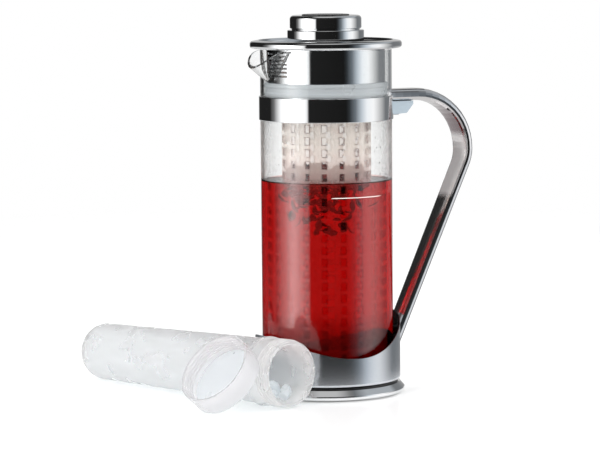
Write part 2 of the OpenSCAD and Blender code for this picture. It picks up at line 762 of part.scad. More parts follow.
module infuser_coupling() {
  in_r = coupling_r - coupling_wall;
  spigot_in_r = spigot_r - coupling_wall;
  flange_z = infuser_top_z;
  color("#d8d4cf", 0.8) rotate_extrude($fn = round_fn) polygon([
    [spigot_in_r, flange_z - spigot_h], [spigot_r, flange_z - spigot_h], [spigot_r, flange_z],
    [infuser_r, flange_z], [infuser_r, flange_z + coupling_t], [coupling_r, flange_z + coupling_t],
    [coupling_r, coupling_top_z], [in_r, coupling_top_z], [in_r, flange_z + coupling_t - coupling_wall / 2],
    [spigot_in_r, flange_z]]);
}

module infuser_basket() {
  height = infuser_top_z - infuser_z;
  color("#d9d2ca", 0.7) difference() {
    translate([0, 0, infuser_z]) ring(infuser_r, infuser_r - infuser_wall, height);
    for (i = [0:slot_rows - 1]) for (j = [0:slot_columns / 2 - 1])
      translate([0, 0, infuser_z + slot_lift + slot_pitch * i])
        rotate([0, 0, slot_turn + 360 / slot_columns * (j + 0.5)])
          cube([2 * infuser_r + 2 * cut, slot_w, slot_h], center = true);
  }
}

module infuser_end_cap() {
  floor_t = end_cap_t * 2 / 3;
  in_r = end_spigot_r - coupling_wall;
  ring_r = in_r * 0.62;
  color("#d8d4cf", 0.8) difference() {
    rotate_extrude($fn = round_fn) polygon([
      [0, end_cap_z], [infuser_r - disc_round, end_cap_z], [infuser_r, end_cap_z + disc_round],
      [infuser_r, end_cap_z + end_cap_t], [end_spigot_r, end_cap_z + end_cap_t],
      [end_spigot_r, infuser_z + spigot_h], [in_r, infuser_z + spigot_h],
      [in_r, end_cap_z + floor_t], [0, end_cap_z + floor_t]]);
    round_array(drain_count, ring_r) translate([0, 0, end_cap_z - cut])
      cylinder(r = drain_r, h = end_cap_t + 2 * cut, $fn = small_fn);
  }
}

// Ice tube and cap

// The ridges of a thread on a wall, as outline points from the first turn up or back down
function thread_points(z, r_wall, r_crest, up) =
  let (wide = thread_pitch * 0.62, narrow = thread_pitch * 0.2)
  [for (i = [0:thread_turns - 1]) let (
      k = up ? i : thread_turns - 1 - i,
      side = up ? 1 : -1,
      mid = z + thread_pitch * (k + 0.5))
    for (p = [[r_wall, -wide / 2], [r_crest, -narrow / 2], [r_crest, narrow / 2], [r_wall, wide / 2]])
      [p[0], mid + side * p[1]]];

thread_len = thread_pitch * thread_turns;
thread_z = tube_len - thread_len - thread_pitch * 0.5;

// Puts the tube on the table beside the base, closed end first
module lay_tube() {
  side = tube_angle - 90;
  rotate([0, 0, side]) translate([tube_side, 0, 0]) rotate([0, 0, 90])
    translate([tube_reach, 0, tube_mouth_h]) rotate([0, 90 - tube_tilt, 0])
      translate([0, 0, -tube_len]) children();
}

module ice_tube() {
  in_end_r = tube_end_r - tube_wall;
  in_bend = tube_bend - tube_wall;
  bore = neck_r - tube_wall;
  closed = arc([tube_end_r - tube_bend, tube_bend], tube_bend, -90, 0, 12);
  inside = arc([in_end_r - in_bend, tube_wall + in_bend], in_bend, 0, -90, 12);
  color("#dfe3e3", 0.6) lay_tube() rotate_extrude($fn = round_fn) polygon(concat(
    [[0, 0]], closed,
    [[tube_r, stop_z - tube_wall], [stop_r, stop_z], [stop_r, stop_z + stop_h],
      [neck_r, stop_z + stop_h]],
    thread_points(thread_z, neck_r, neck_r + thread_depth, true),
    [[neck_r, tube_len - tube_wall / 4], [neck_r - tube_wall / 4, tube_len],
      [bore + tube_wall / 4, tube_len], [bore, tube_len - tube_wall / 4], [bore, stop_z],
      [tube_r - tube_wall, stop_z - 2 * tube_wall]],
    inside, [[0, tube_wall]]));
}

// Frozen water that fills the tube but for its mouth, with a front broken along three slanted faces
module ice_filling() {
  in_end_r = tube_end_r - tube_wall;
  in_bend = tube_bend - tube_wall;
  end_r = in_end_r - run_gap;
  shoulder_r = tube_r - tube_wall - run_gap;
  shoulder_z = stop_z - 2 * tube_wall;
  front_z = tube_len - ice_front;
  front_r = end_r + (shoulder_r - end_r) * (front_z - tube_bend) / (shoulder_z - tube_bend);
  closed = arc([in_end_r - in_bend, tube_bend], in_bend - run_gap, -90, 0, 12);
  slant_shares = [1, 0.4, 0.7];
  color("#eef4f6", 0.7) lay_tube() difference() {
    rotate_extrude($fn = round_fn)
      polygon(concat([[0, tube_wall + run_gap]], closed, [[front_r, front_z], [0, front_z]]));
    for (i = [0:2]) rotate([0, 0, 120 * i]) translate([0, 0, front_z])
      rotate([0, ice_break_angle * slant_shares[i], 0])
        translate([0, -2 * tube_r, 0]) cube([4 * tube_r, 4 * tube_r, 4 * tube_r]);
  }
}

// Stands the cap on its lower edge, leaning back on the tube; its opening points away
module lean_cap() {
  side = tube_angle - 90;
  rotate([0, 0, side]) translate([tube_side + cap_foot_out, tube_reach - cap_along, 0])
    rotate([0, 90 - cap_lean, 0]) translate([-cap_r, 0, 0]) children();
}

module tube_cap() {
  bore = cap_r - cap_wall;
  edge = arc([cap_r - cap_wall, cap_wall], cap_wall, -90, 0, 6);
  color("#e4e7e7", 0.6) lean_cap() rotate_extrude($fn = round_fn) polygon(concat(
    [[0, 0]], edge, [[cap_r, cap_h - cap_wall / 4], [cap_r - cap_wall / 4, cap_h], [bore, cap_h]],
    thread_points(cap_h - thread_len - cap_wall / 4, bore, bore - thread_depth, false),
    [[bore, cap_wall], [0, cap_wall]]));
}

module cap_liner() {
  r = cap_r - cap_wall - thread_depth - run_gap;
  color("#eef0f0") lean_cap() translate([0, 0, cap_wall]) cylinder(r = r, h = liner_t, $fn = round_fn);
}

base_pad();
foot_ring();
groove_ring();
base_cup();
base_screws();
base_nuts();
glass_seat();
glass_beaker();
neck_band();
handle();
handle_bracket();
bracket_screw();
handle_foot_screws();
seal_ring();
strainer_collar();
lid_plate();
lid_gasket();
lid_socket();
socket_screws();
knob_step();
knob_drum();
knob_disc();
knob_screw();
infuser_coupling();
infuser_basket();
infuser_end_cap();
ice_tube();
ice_filling();
tube_cap();
cap_liner();
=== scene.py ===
import math
import random
import bmesh
import bpy
from mathutils import Vector, Matrix
from mathutils.kdtree import KDTree


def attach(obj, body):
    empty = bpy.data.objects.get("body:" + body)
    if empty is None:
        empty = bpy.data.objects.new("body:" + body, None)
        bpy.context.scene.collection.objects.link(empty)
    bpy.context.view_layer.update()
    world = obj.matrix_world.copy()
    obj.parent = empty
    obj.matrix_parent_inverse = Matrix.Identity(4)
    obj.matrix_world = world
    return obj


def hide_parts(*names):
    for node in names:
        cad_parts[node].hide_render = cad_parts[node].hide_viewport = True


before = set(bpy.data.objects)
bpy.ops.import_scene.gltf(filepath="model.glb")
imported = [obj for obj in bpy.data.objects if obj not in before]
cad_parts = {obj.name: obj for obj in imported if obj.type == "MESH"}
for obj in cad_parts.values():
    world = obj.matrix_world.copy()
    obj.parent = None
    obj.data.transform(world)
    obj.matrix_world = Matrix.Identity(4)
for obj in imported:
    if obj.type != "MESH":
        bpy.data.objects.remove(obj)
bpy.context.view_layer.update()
scene = bpy.context.scene
mm = 0.001
print("frame loaded:", len(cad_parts), "CAD nodes")


# helpers: colours, nodes, meshes

def hexToLinear(code):
    parts = [int(code[i:i + 2], 16) / 255 for i in (1, 3, 5)]
    return tuple(c / 12.92 if c <= 0.04045 else ((c + 0.055) / 1.055) ** 2.4 for c in parts) + (1.0,)


def addNode(tree, kind, inputs=None, **settings):
    # kind is the node's type without ShaderNode; inputs are constants, sockets or whole nodes, and a node stands for
    # the first of its outputs that is in use
    node = tree.nodes.new("ShaderNode" + kind)
    for name, value in settings.items():
        setattr(node, name, value)
    for name, value in (inputs or {}).items():
        if isinstance(value, bpy.types.Node):
            value = [out for out in value.outputs if out.enabled][0]
        if isinstance(value, bpy.types.NodeSocket):
            tree.links.new(value, node.inputs[name])
        else:
            node.inputs[name].default_value = value
    return node


def startMaterial(name, viewport):
    mat = bpy.data.materials.new(name)
    mat.use_nodes = True
    mat.diffuse_color = hexToLinear(viewport)
    tree = mat.node_tree
    tree.nodes.clear()
    return mat, tree, addNode(tree, "TexCoord").outputs["Object"]


def finishMaterial(mat, surface, **others):
    addNode(mat.node_tree, "OutputMaterial", {"Surface": surface, **others})
    return mat


def lightThrough(tree, surface, tint):
    # shadow rays pass straight through tinted, so what is inside the glass is lit
    path = addNode(tree, "LightPath")
    clear = addNode(tree, "BsdfTransparent", {"Color": hexToLinear(tint)})
    return addNode(tree, "MixShader", {0: path.outputs["Is Shadow Ray"], 1: surface, 2: clear})


def makeObject(name, points, faces, material, body, smooth=35):
    # points are in mm; edges sharper than smooth degrees stay sharp
    mesh = bpy.data.meshes.new(name)
    mesh.from_pydata([tuple(c * mm for c in p) for p in points], [], faces)
    mesh.validate()
    mesh.polygons.foreach_set("use_smooth", [True] * len(mesh.polygons))
    mesh.set_sharp_from_angle(angle=math.radians(smooth))
    mesh.materials.append(material)
    obj = bpy.data.objects.new(name, mesh)
    scene.collection.objects.link(obj)
    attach(obj, body)
    return obj


def arc(cx, cy, r, start, end, steps):
    # degrees, from the outward radius towards up
    return [(cx + r * math.cos(math.radians(start + (end - start) * i / steps)),
             cy + r * math.sin(math.radians(start + (end - start) * i / steps))) for i in range(steps + 1)]


def lathe(outline, turns=192, closed=True):
    # outline is (radius, height) points; radius 0 becomes one point on the axis
    points, rings, faces = [], [], []
    for r, z in outline:
        if r < 1e-6:
            rings.append([len(points)])
            points.append((0, 0, z))
        else:
            rings.append(list(range(len(points), len(points) + turns)))
            points += [(r * math.cos(2 * math.pi * k / turns), r * math.sin(2 * math.pi * k / turns), z)
                       for k in range(turns)]
    pairs = list(zip(rings, rings[1:] + rings[:1])) if closed else list(zip(rings, rings[1:]))
    for a, b in pairs:
        for k in range(turns):
            n = (k + 1) % turns
            if len(a) == 1 and len(b) == 1:
                break
            if len(a) == 1:
                faces.append((a[0], b[n], b[k]))
            elif len(b) == 1:
                faces.append((a[k], a[n], b[0]))
            else:
                faces.append((a[k], a[n], b[n], b[k]))
    return points, faces


def bar(sections, inward=False):
    # joins sections of four corners each into one closed bar; inward turns its faces over
    points = [corner for section in sections for corner in section]
    last = len(points) - 4
    faces = [(i + j, i + j + 4, i + (j + 1) % 4 + 4, i + (j + 1) % 4) for i in range(0, last, 4) for j in range(4)]
    faces += [(0, 1, 2, 3), (last + 3, last + 2, last + 1, last)]
    return points, [(a, d, c, b) for a, b, c, d in faces] if inward else faces


# camera: the photograph's view, worked out from its ellipses and the tube on the table, in mm and degrees
shot = {"azimuth": -26.0, "distance": 2225.0, "height": 356.0, "aside": -20.6, "pitch": 6.0, "roll": -0.45,
        "lens": 175.9, "sensor": 36, "bounces": 20, "mirrorBounces": 8, "clearBounces": 24}
turn = math.radians(shot["azimuth"])
forward = Vector((-math.sin(turn), math.cos(turn), 0))
toRight = Vector((math.cos(turn), math.sin(turn), 0))
camera = bpy.data.objects.new("camera", bpy.data.cameras.new("camera"))
scene.collection.objects.link(camera)
camera.data.sensor_width = shot["sensor"]
camera.data.lens = shot["lens"]
camera.data.clip_end = 60  # metres, well past the table
camera.location = (toRight * shot["aside"] - forward * shot["distance"] + Vector((0, 0, shot["height"]))) * mm
camera.rotation_euler = (Matrix.Rotation(turn, 3, "Z") @ Matrix.Rotation(math.radians(90 - shot["pitch"]), 3, "X")
                         @ Matrix.Rotation(math.radians(shot["roll"]), 3, "Z")).to_euler()
scene.camera = camera
scene.view_settings.view_transform = "Standard"
# glass, tea, infuser and leaves stand behind each other, so light needs many steps
scene.cycles.max_bounces = scene.cycles.transmission_bounces = shot["bounces"]
scene.cycles.glossy_bounces = shot["mirrorBounces"]
scene.cycles.transparent_max_bounces = shot["clearBounces"]
print("camera placed")


# studio: a white room with dark cards, which polished steel and glass show
studio = {
    # how bright the room is for matt surfaces, in what mirrors, and straight through glass
    "ambient": 1.0, "boxes": 5.5, "pale": 1.0,
    # bearing from the camera's side of the room, level, and how cool the light is
    "cards": [(-180, 0.12, 0), (-168, 0.05, 0), (-162, 0.003, 0), (-112, 0.003, 0), (-101, 0.035, 0), (-93, 0.12, 0),
              (-80, 0.26, 0), (-66, 0.60, 0), (-55, 0.52, 0), (-43, 0.29, 0), (-33, 0.17, 0), (-30.5, 0.003, 0),
              (34, 0.002, 0), (40, 0.007, 1), (51, 0.037, 1), (63, 0.125, 0.7), (74, 0.19, 0.2), (88, 0.2, 0),
              (104, 0.12, 0), (122, 0.036, 0.4), (150, 0.04, 0.4), (165, 0.06, 0), (180, 0.12, 0)],
    # lower and higher up, other cards take their place: the heights where they start and where they are full, as the
    # z of a direction of length 1, and their own bearings, levels and tints
    "heights": [(-0.13, -0.19, [(-180, 0.13, 0), (-100, 0.13, 0), (-80, 0.26, 0), (-66, 0.50, 0), (-43, 0.29, 0),
                                (-33, 0.17, 0), (-30.5, 0.003, 0), (34, 0.002, 0), (51, 0.037, 1), (63, 0.125, 0.7),
                                (88, 0.2, 0), (104, 0.12, 0), (122, 0.04, 0.4), (180, 0.12, 0)]),
                (-0.42, -0.58, [(-180, 0.13, 0), (180, 0.13, 0)]),
                (0.42, 0.52, [(-180, 0.004, 0), (62, 0.004, 0), (95, 0.085, 0.5), (150, 0.085, 0.5), (172, 0.004, 0),
                              (180, 0.004, 0)]),
                (0.90, 0.96, [(-180, 0.10, 0), (180, 0.10, 0)])],
    "aimHeight": 120,  # mm above the table, where the lamps point
}
world = bpy.data.worlds.new("studio")
scene.world = world
world.use_nodes = True
wt = world.node_tree
wt.nodes.clear()
direction = addNode(wt, "TexCoord").outputs["Generated"]
turned = addNode(wt, "VectorRotate", {"Vector": direction, "Angle": -turn}, rotation_type="Z_AXIS")
split = addNode(wt, "SeparateXYZ", {"Vector": turned})
back = addNode(wt, "Math", {0: split.outputs["Y"], 1: -1}, operation="MULTIPLY")
bearing = addNode(wt, "Math", {0: split.outputs["X"], 1: back}, operation="ARCTAN2")
share = addNode(wt, "MapRange", {"Value": bearing, "From Min": -math.pi, "From Max": math.pi})


def makeCards(stops):
    # what stands round the room at one height, as a ramp over the bearing
    node = addNode(wt, "ValToRGB", {"Fac": share})
    ramp = node.color_ramp
    for place, (angle, level, cool) in enumerate(stops):
        spot = (angle + 180) / 360
        if place == 0:
            ramp.elements[0].position = spot
            stop = ramp.elements[0]
        elif place == len(stops) - 1:
            stop = ramp.elements[-1]
            stop.position = spot
        else:
            stop = ramp.elements.new(spot)
        stop.color = (level * (1 - 0.14 * cool), level * (1 - 0.02 * cool), level * (1 + 0.1 * cool), 1)
    return node


# the cards stand between the white table and a dark ceiling with a skylight, which the lid, the foot ring and the
# handle's top show
mirrored = makeCards(studio["cards"])
for start, end, stops in studio["heights"]:
    lift = addNode(wt, "MapRange", {"Value": split.outputs["Z"], "From Min": start, "From Max": end})
    mirrored = addNode(wt, "Mix", {"Factor": lift, "A": mirrored, "B": makeCards(stops)}, data_type="RGBA")
# straight through glass the room is white, what steel and glass mirror are the softboxes and cards, light that has
# met a matt surface comes from an even room, and the camera sees white
path = addNode(wt, "LightPath")
white = (1, 1, 1, 1)
room = addNode(wt, "Background", {"Color": white, "Strength": studio["pale"]})
for ray, colour, strength in (("Glossy Depth", mirrored, studio["boxes"]), ("Diffuse Depth", white, studio["ambient"]),
                              ("Is Camera Ray", white, 1.0)):
    source = addNode(wt, "Background", {"Color": colour, "Strength": strength})
    room = addNode(wt, "MixShader", {0: path.outputs[ray], 1: room, 2: source})
addNode(wt, "OutputWorld", {"Surface": room})

# table: white paper, matt with a little gloss; a glow keeps it white to the eye, and it fades out to the white room,
# near by for what steel reflects, since the dark cards stand close round it
table = {"colour": "#F4F4F4", "roughness": 0.22, "specular": 0.35, "glow": 0.16, "fade": (700, 1500),
         "steelFade": (70, 170), "sides": 96}
paperMat, pt, where = startMaterial("paperSweep", table["colour"])
paper = addNode(pt, "BsdfPrincipled", {"Base Color": hexToLinear(table["colour"]),
                                       "Roughness": table["roughness"],
                                       "Specular IOR Level": table["specular"]})
path = addNode(pt, "LightPath")
seen = addNode(pt, "Math", {0: path.outputs["Is Camera Ray"], 1: path.outputs["Is Glossy Ray"]}, operation="ADD")
seen = addNode(pt, "Math", {0: seen, 1: path.outputs["Is Transmission Ray"]}, operation="MAXIMUM")
power = addNode(pt, "Math", {0: seen, 1: table["glow"]}, operation="MULTIPLY")
glow = addNode(pt, "Emission", {"Color": white, "Strength": power})
lit = addNode(pt, "AddShader", {0: paper, 1: glow})
away = addNode(pt, "VectorMath", {0: where}, operation="LENGTH")
edges = [addNode(pt, "MapRange", {"Value": away, "From Min": near * mm, "From Max": far * mm},
                 interpolation_type="SMOOTHSTEP") for near, far in (table["fade"], table["steelFade"])]
gone = addNode(pt, "Mix", {"Factor": path.outputs["Is Glossy Ray"], "A": edges[0], "B": edges[1]}, data_type="FLOAT")
clear = addNode(pt, "BsdfTransparent")
finishMaterial(paperMat, addNode(pt, "MixShader", {0: gone, 1: lit, 2: clear}))
tableMesh = bpy.data.meshes.new("floor")
corners = [2 * math.pi * k / table["sides"] for k in range(table["sides"])]
tableMesh.from_pydata([(table["fade"][1] * mm * math.cos(a), table["fade"][1] * mm * math.sin(a), 0) for a in corners],
                      [], [tuple(range(table["sides"]))])
tableMesh.materials.append(paperMat)
floor = bpy.data.objects.new("floor", tableMesh)
scene.collection.objects.link(floor)

# lamps: softboxes that light what is matt, and that steel and glass don't show, in mm and watts
lamps = {
    "keyLeft": {"side": -900, "near": 900, "up": 1300, "size": 900, "watts": 9},
    "fillRight": {"side": 1200, "near": 500, "up": 900, "size": 1000, "watts": 5},
    "topBack": {"side": -100, "near": -700, "up": 1500, "size": 1100, "watts": 7},
}
for name, lamp in lamps.items():
    light = bpy.data.objects.new(name, bpy.data.lights.new(name, "AREA"))
    scene.collection.objects.link(light)
    light.data.shape = "DISK"
    light.data.size = lamp["size"] * mm
    light.data.energy = lamp["watts"]
    light.location = (toRight * lamp["side"] - forward * lamp["near"] + Vector((0, 0, lamp["up"]))) * mm
    aim = Vector((0, 0, studio["aimHeight"] * mm)) - light.location
    light.rotation_euler = aim.to_track_quat("-Z", "Y").to_euler()
    light.visible_glossy = False
    light.visible_transmission = False
print("studio lit")


# materials

def buffedWaves(t, where):
    # what buffing leaves: very low waves, 26 mm long, that bend what the steel shows
    buff = addNode(t, "TexNoise", {"Vector": where, "Scale": 1 / (26 * mm), "Detail": 1.0})
    return addNode(t, "Bump", {"Height": buff, "Strength": 0.03, "Distance": 1.0 * mm})


def etchedGrain(t, where, grit):
    # the grain of an etched mould, which takes the gloss off; the real one is finer, and would not show
    grain = addNode(t, "TexNoise", {"Vector": where, "Scale": 1 / (grit * mm), "Detail": 3.0})
    return addNode(t, "Bump", {"Height": grain, "Strength": 0.12, "Distance": 0.2 * mm})


def makePolishedSteel():
    # 18/8 stainless, rolled and buffed to a mirror: it shows the room, with a faint haze from the buffing
    mat, t, where = startMaterial("polishedStainless", "#C8CACC")
    haze = addNode(t, "TexNoise", {"Vector": where, "Scale": 1 / (9 * mm), "Detail": 3.0})
    rough = addNode(t, "MapRange", {"Value": haze, "To Min": 0.012, "To Max": 0.03})
    return finishMaterial(mat, addNode(t, "BsdfPrincipled", {
        "Base Color": hexToLinear("#ECEDEE"), "Metallic": 1.0, "Roughness": rough, "Normal": buffedWaves(t, where)}))


# the handle's inner side, towards the glass: how square to it a face has to be, and the heights in mm at which
# its finish and its painted shade change, each eased from the first to the second
innerSide = {"facing": (0.25, 0.85), "heights": {"coarse": (212, 190), "shade": (190, 197), "dullAbove": (143, 150),
                                                "dullBelow": (199, 189)}}


def makeHandleSteel():
    # polished like the rest, but its inner side is only brushed: it mirrors the tea softly low down, scatters the
    # white room below the bend, and above it its colour is darkened as painted shade, for the shade of the grip
    mat, t, where = startMaterial("handleStainless", "#C8CACC")
    normal = addNode(t, "SeparateXYZ", {0: addNode(t, "NewGeometry").outputs["Normal"]})
    towards = addNode(t, "Math", {0: normal.outputs["X"], 1: -1.0}, operation="MULTIPLY")
    inner = addNode(t, "MapRange", {"Value": towards, "From Min": innerSide["facing"][0],
                                    "From Max": innerSide["facing"][1]}, interpolation_type="SMOOTHSTEP")
    height = addNode(t, "SeparateXYZ", {0: where}).outputs["Z"]
    zone = {}
    for name, (start, end) in innerSide["heights"].items():
        place = addNode(t, "MapRange", {"Value": height, "From Min": start * mm, "From Max": end * mm},
                        interpolation_type="SMOOTHSTEP")
        zone[name] = addNode(t, "Math", {0: inner, 1: place}, operation="MULTIPLY")
    # brush lines 6 mm long and 0.5 mm apart, drawn coarser than real ones so that they show
    along = addNode(t, "Mapping", {"Vector": where, "Scale": (1, 12, 1)})
    lines = addNode(t, "TexNoise", {"Vector": along, "Scale": 1 / (6 * mm), "Detail": 3.0})
    brushed = addNode(t, "MapRange", {"Value": lines, "To Min": 0.13, "To Max": 0.21})
    most = addNode(t, "Math", {0: zone["coarse"], 1: 0.7}, operation="MULTIPLY")
    reach = addNode(t, "Math", {0: inner, 1: 0.3, 2: most}, operation="MULTIPLY_ADD")
    rough = addNode(t, "Mix", {"Factor": reach, "A": 0.025, "B": brushed}, data_type="FLOAT")
    # painted shade: the colour turns a darker mauve grey on the inner side above the bend
    tone = addNode(t, "Mix", {"Factor": zone["shade"], "A": hexToLinear("#E6E4E4"),
                              "B": hexToLinear("#94888A")}, data_type="RGBA")
    dull = addNode(t, "Math", {0: zone["dullAbove"], 1: zone["dullBelow"]}, operation="MINIMUM")
    metallic = addNode(t, "Math", {0: dull, 1: -0.6, 2: 1.0}, operation="MULTIPLY_ADD")
    return finishMaterial(mat, addNode(t, "BsdfPrincipled", {
        "Base Color": tone, "Metallic": metallic, "Roughness": rough, "Normal": buffedWaves(t, where)}))


# where the cup's inside, painted dark as shade, gives way to its outside, in mm from the axis: within the thickness of
# its wall
cupShadeEdge = {"middle": 55, "blend": 0.2}


def makeSatinSteel():
    # the same steel, drawn and brushed round the cup: soft upright highlights, fine level lines
    mat, t, where = startMaterial("satinStainless", "#B4B6B8")
    # brush lines 22 mm long and 0.55 mm apart; real ones are finer than a pixel, so these are drawn coarser
    level = addNode(t, "Mapping", {"Vector": where, "Scale": (1, 1, 40)})
    lines = addNode(t, "TexNoise", {"Vector": level, "Scale": 1 / (22 * mm), "Detail": 3.0})
    rough = addNode(t, "MapRange", {"Value": lines, "To Min": 0.21, "To Max": 0.25})
    grain = addNode(t, "Bump", {"Height": lines, "Strength": 0.012, "Distance": 0.05 * mm})
    # inside, the cup's colour is painted dark: painted shade, where the glass and the cup's own wall shade it
    plan = addNode(t, "Mapping", {"Vector": where, "Scale": (1, 1, 0)})
    fromAxis = addNode(t, "VectorMath", {0: plan}, operation="LENGTH")
    side = addNode(t, "MapRange", {
        "Value": fromAxis, "From Min": (cupShadeEdge["middle"] - cupShadeEdge["blend"] / 2) * mm,
        "From Max": (cupShadeEdge["middle"] + cupShadeEdge["blend"] / 2) * mm})
    tone = addNode(t, "Mix", {"Factor": side, "A": hexToLinear("#3A3234"), "B": hexToLinear("#CDD1D6")},
                   data_type="RGBA")
    return finishMaterial(mat, addNode(t, "BsdfPrincipled", {
        "Base Color": tone, "Metallic": 1.0, "Roughness": rough, "Normal": grain}))


def makeScrewSteel():
    # turned and tumbled screws: grey, a little rough, with specks drawn coarse enough to show
    mat, t, where = startMaterial("tumbledSteel", "#8E9094")
    speck = addNode(t, "TexNoise", {"Vector": where, "Scale": 1 / (0.8 * mm), "Detail": 2.0})
    rough = addNode(t, "MapRange", {"Value": speck, "To Min": 0.28, "To Max": 0.42})
    return finishMaterial(mat, addNode(t, "BsdfPrincipled", {
        "Base Color": hexToLinear("#A9ABAF"), "Metallic": 1.0, "Roughness": rough}))


# mist on the glass above the tea: the heights in mm over which it comes and goes, its patches, how much of it there
# is where the eye looks along the wall and where it looks through
mist = {"from": (163, 167), "to": (232, 215), "patch": 5, "along": 0.95, "through": 0.04}


def makeGlass():
    # borosilicate, blown and fire polished: clear, with dark edges where it turns away
    mat, t, where = startMaterial("borosilicateGlass", "#DCE8E8")
    drawn = addNode(t, "Mapping", {"Vector": where, "Scale": (1, 1, 0.35)})
    ripple = addNode(t, "TexNoise", {"Vector": drawn, "Scale": 1 / (30 * mm), "Detail": 1.0})
    wave = addNode(t, "Bump", {"Height": ripple, "Strength": 0.02, "Distance": 1.0 * mm})
    glass = addNode(t, "BsdfPrincipled", {
        "Base Color": hexToLinear("#FDFEFE"), "Roughness": 0.0, "IOR": 1.474, "Transmission Weight": 1.0,
        "Normal": wave})
    # misted over inside, which shows white where the eye looks along the wall
    steam = addNode(t, "TexNoise", {"Vector": where, "Scale": 1 / (mist["patch"] * mm), "Detail": 4.0})
    facing = addNode(t, "LayerWeight", {"Blend": 0.5}).outputs["Facing"]
    grazing = addNode(t, "Math", {0: facing, 1: 2.5}, operation="POWER")
    amount = addNode(t, "Math", {0: grazing, 1: mist["along"], 2: mist["through"]}, operation="MULTIPLY_ADD")
    patches = addNode(t, "Math", {0: steam, 1: 1.2, 2: 0.4}, operation="MULTIPLY_ADD")
    amount = addNode(t, "Math", {0: amount, 1: patches}, operation="MULTIPLY")
    height = addNode(t, "SeparateXYZ", {0: where}).outputs["Z"]
    for start, end in (mist["from"], mist["to"]):
        place = addNode(t, "MapRange", {"Value": height, "From Min": start * mm, "From Max": end * mm},
                        interpolation_type="SMOOTHSTEP")
        amount = addNode(t, "Math", {0: amount, 1: place}, operation="MULTIPLY")
    fog = addNode(t, "BsdfTranslucent", {"Color": white})
    misted = addNode(t, "MixShader", {0: amount, 1: glass, 2: fog})
    return finishMaterial(mat, lightThrough(t, misted, "#FAFCFC"))


# how the tea darkens towards the bottom, painted shade in its absorption for the dark cup behind it: heights in mm,
# and how dense it is above and below them
brew = {"lowShade": (66, 26), "clear": 180.0, "shadedDensity": 600.0}


def makeTea():
    # red fruit tea, strained: clear and deep, darker low down
    mat, t, where = startMaterial("redFruitTea", "#A01818")
    bsdf = addNode(t, "BsdfPrincipled", {"Base Color": hexToLinear("#FBE6E2"), "Roughness": 0.0,
                                         "IOR": 1.333, "Transmission Weight": 1.0})
    height = addNode(t, "SeparateXYZ", {0: where}).outputs["Z"]
    # painted shade: the tea absorbs more light low down, so that it looks shaded there
    lowShade = addNode(t, "MapRange", {"Value": height, "From Min": brew["lowShade"][0] * mm,
                                   "From Max": brew["lowShade"][1] * mm}, interpolation_type="SMOOTHSTEP")
    density = addNode(t, "MapRange", {"Value": lowShade, "To Min": brew["clear"], "To Max": brew["shadedDensity"]})
    deep = addNode(t, "VolumeAbsorption", {"Color": hexToLinear("#FACECE"), "Density": density})
    return finishMaterial(mat, lightThrough(t, bsdf, "#F09088"), Volume=deep)


def makeFrosted(name, colour, rough, clear, grit, milky=0.25):
    # polypropylene or silicone from an etched mould: milky, lets light through, fine grain; clear is how much light
    # goes through, milky how much of it is scattered, and grit the grain's width in mm
    mat, t, where = startMaterial(name, colour)
    bump = etchedGrain(t, where, grit)
    cloud = addNode(t, "TexNoise", {"Vector": where, "Scale": 1 / (18 * mm), "Detail": 2.0})
    haze = addNode(t, "MapRange", {"Value": cloud, "To Min": rough - 0.08, "To Max": rough + 0.08})
    wall = addNode(t, "BsdfPrincipled", {
        "Base Color": hexToLinear(colour), "Roughness": haze, "IOR": 1.49, "Transmission Weight": clear,
        "Normal": bump})
    glow = addNode(t, "BsdfTranslucent", {"Color": hexToLinear(colour), "Normal": bump})
    milk = addNode(t, "MixShader", {0: milky, 1: wall, 2: glow})
    return finishMaterial(mat, lightThrough(t, milk, "#F2F4F4"))


# the infuser's slots, in mm and degrees: where the first column and row stand, and how large each slot is
slots = {"columns": 16, "turn": 15.75, "first": 57.5, "pitch": 9.1, "wide": 3.6, "high": 5.4, "radius": 34}
# how it looks, each from the first value to the second: the dry part, and the mauve part low down that gives way to
# the creamy part, by height in mm; the mauve is partly a stain of steam and tea and partly painted light, the red glow
# of the tea; the rim, painted shade along each slot's edge, by its distance from a slot in mm; the rim's patches and
# the blotches by how much of the cloudy pattern they cover
stainsAndPaintedLight = {"dry": (155, 168), "cream": (160, 192), "rim": (0.9, 0.1), "rimPatches": (0.2, 0.6), "blotched": (0.52, 0.72)}


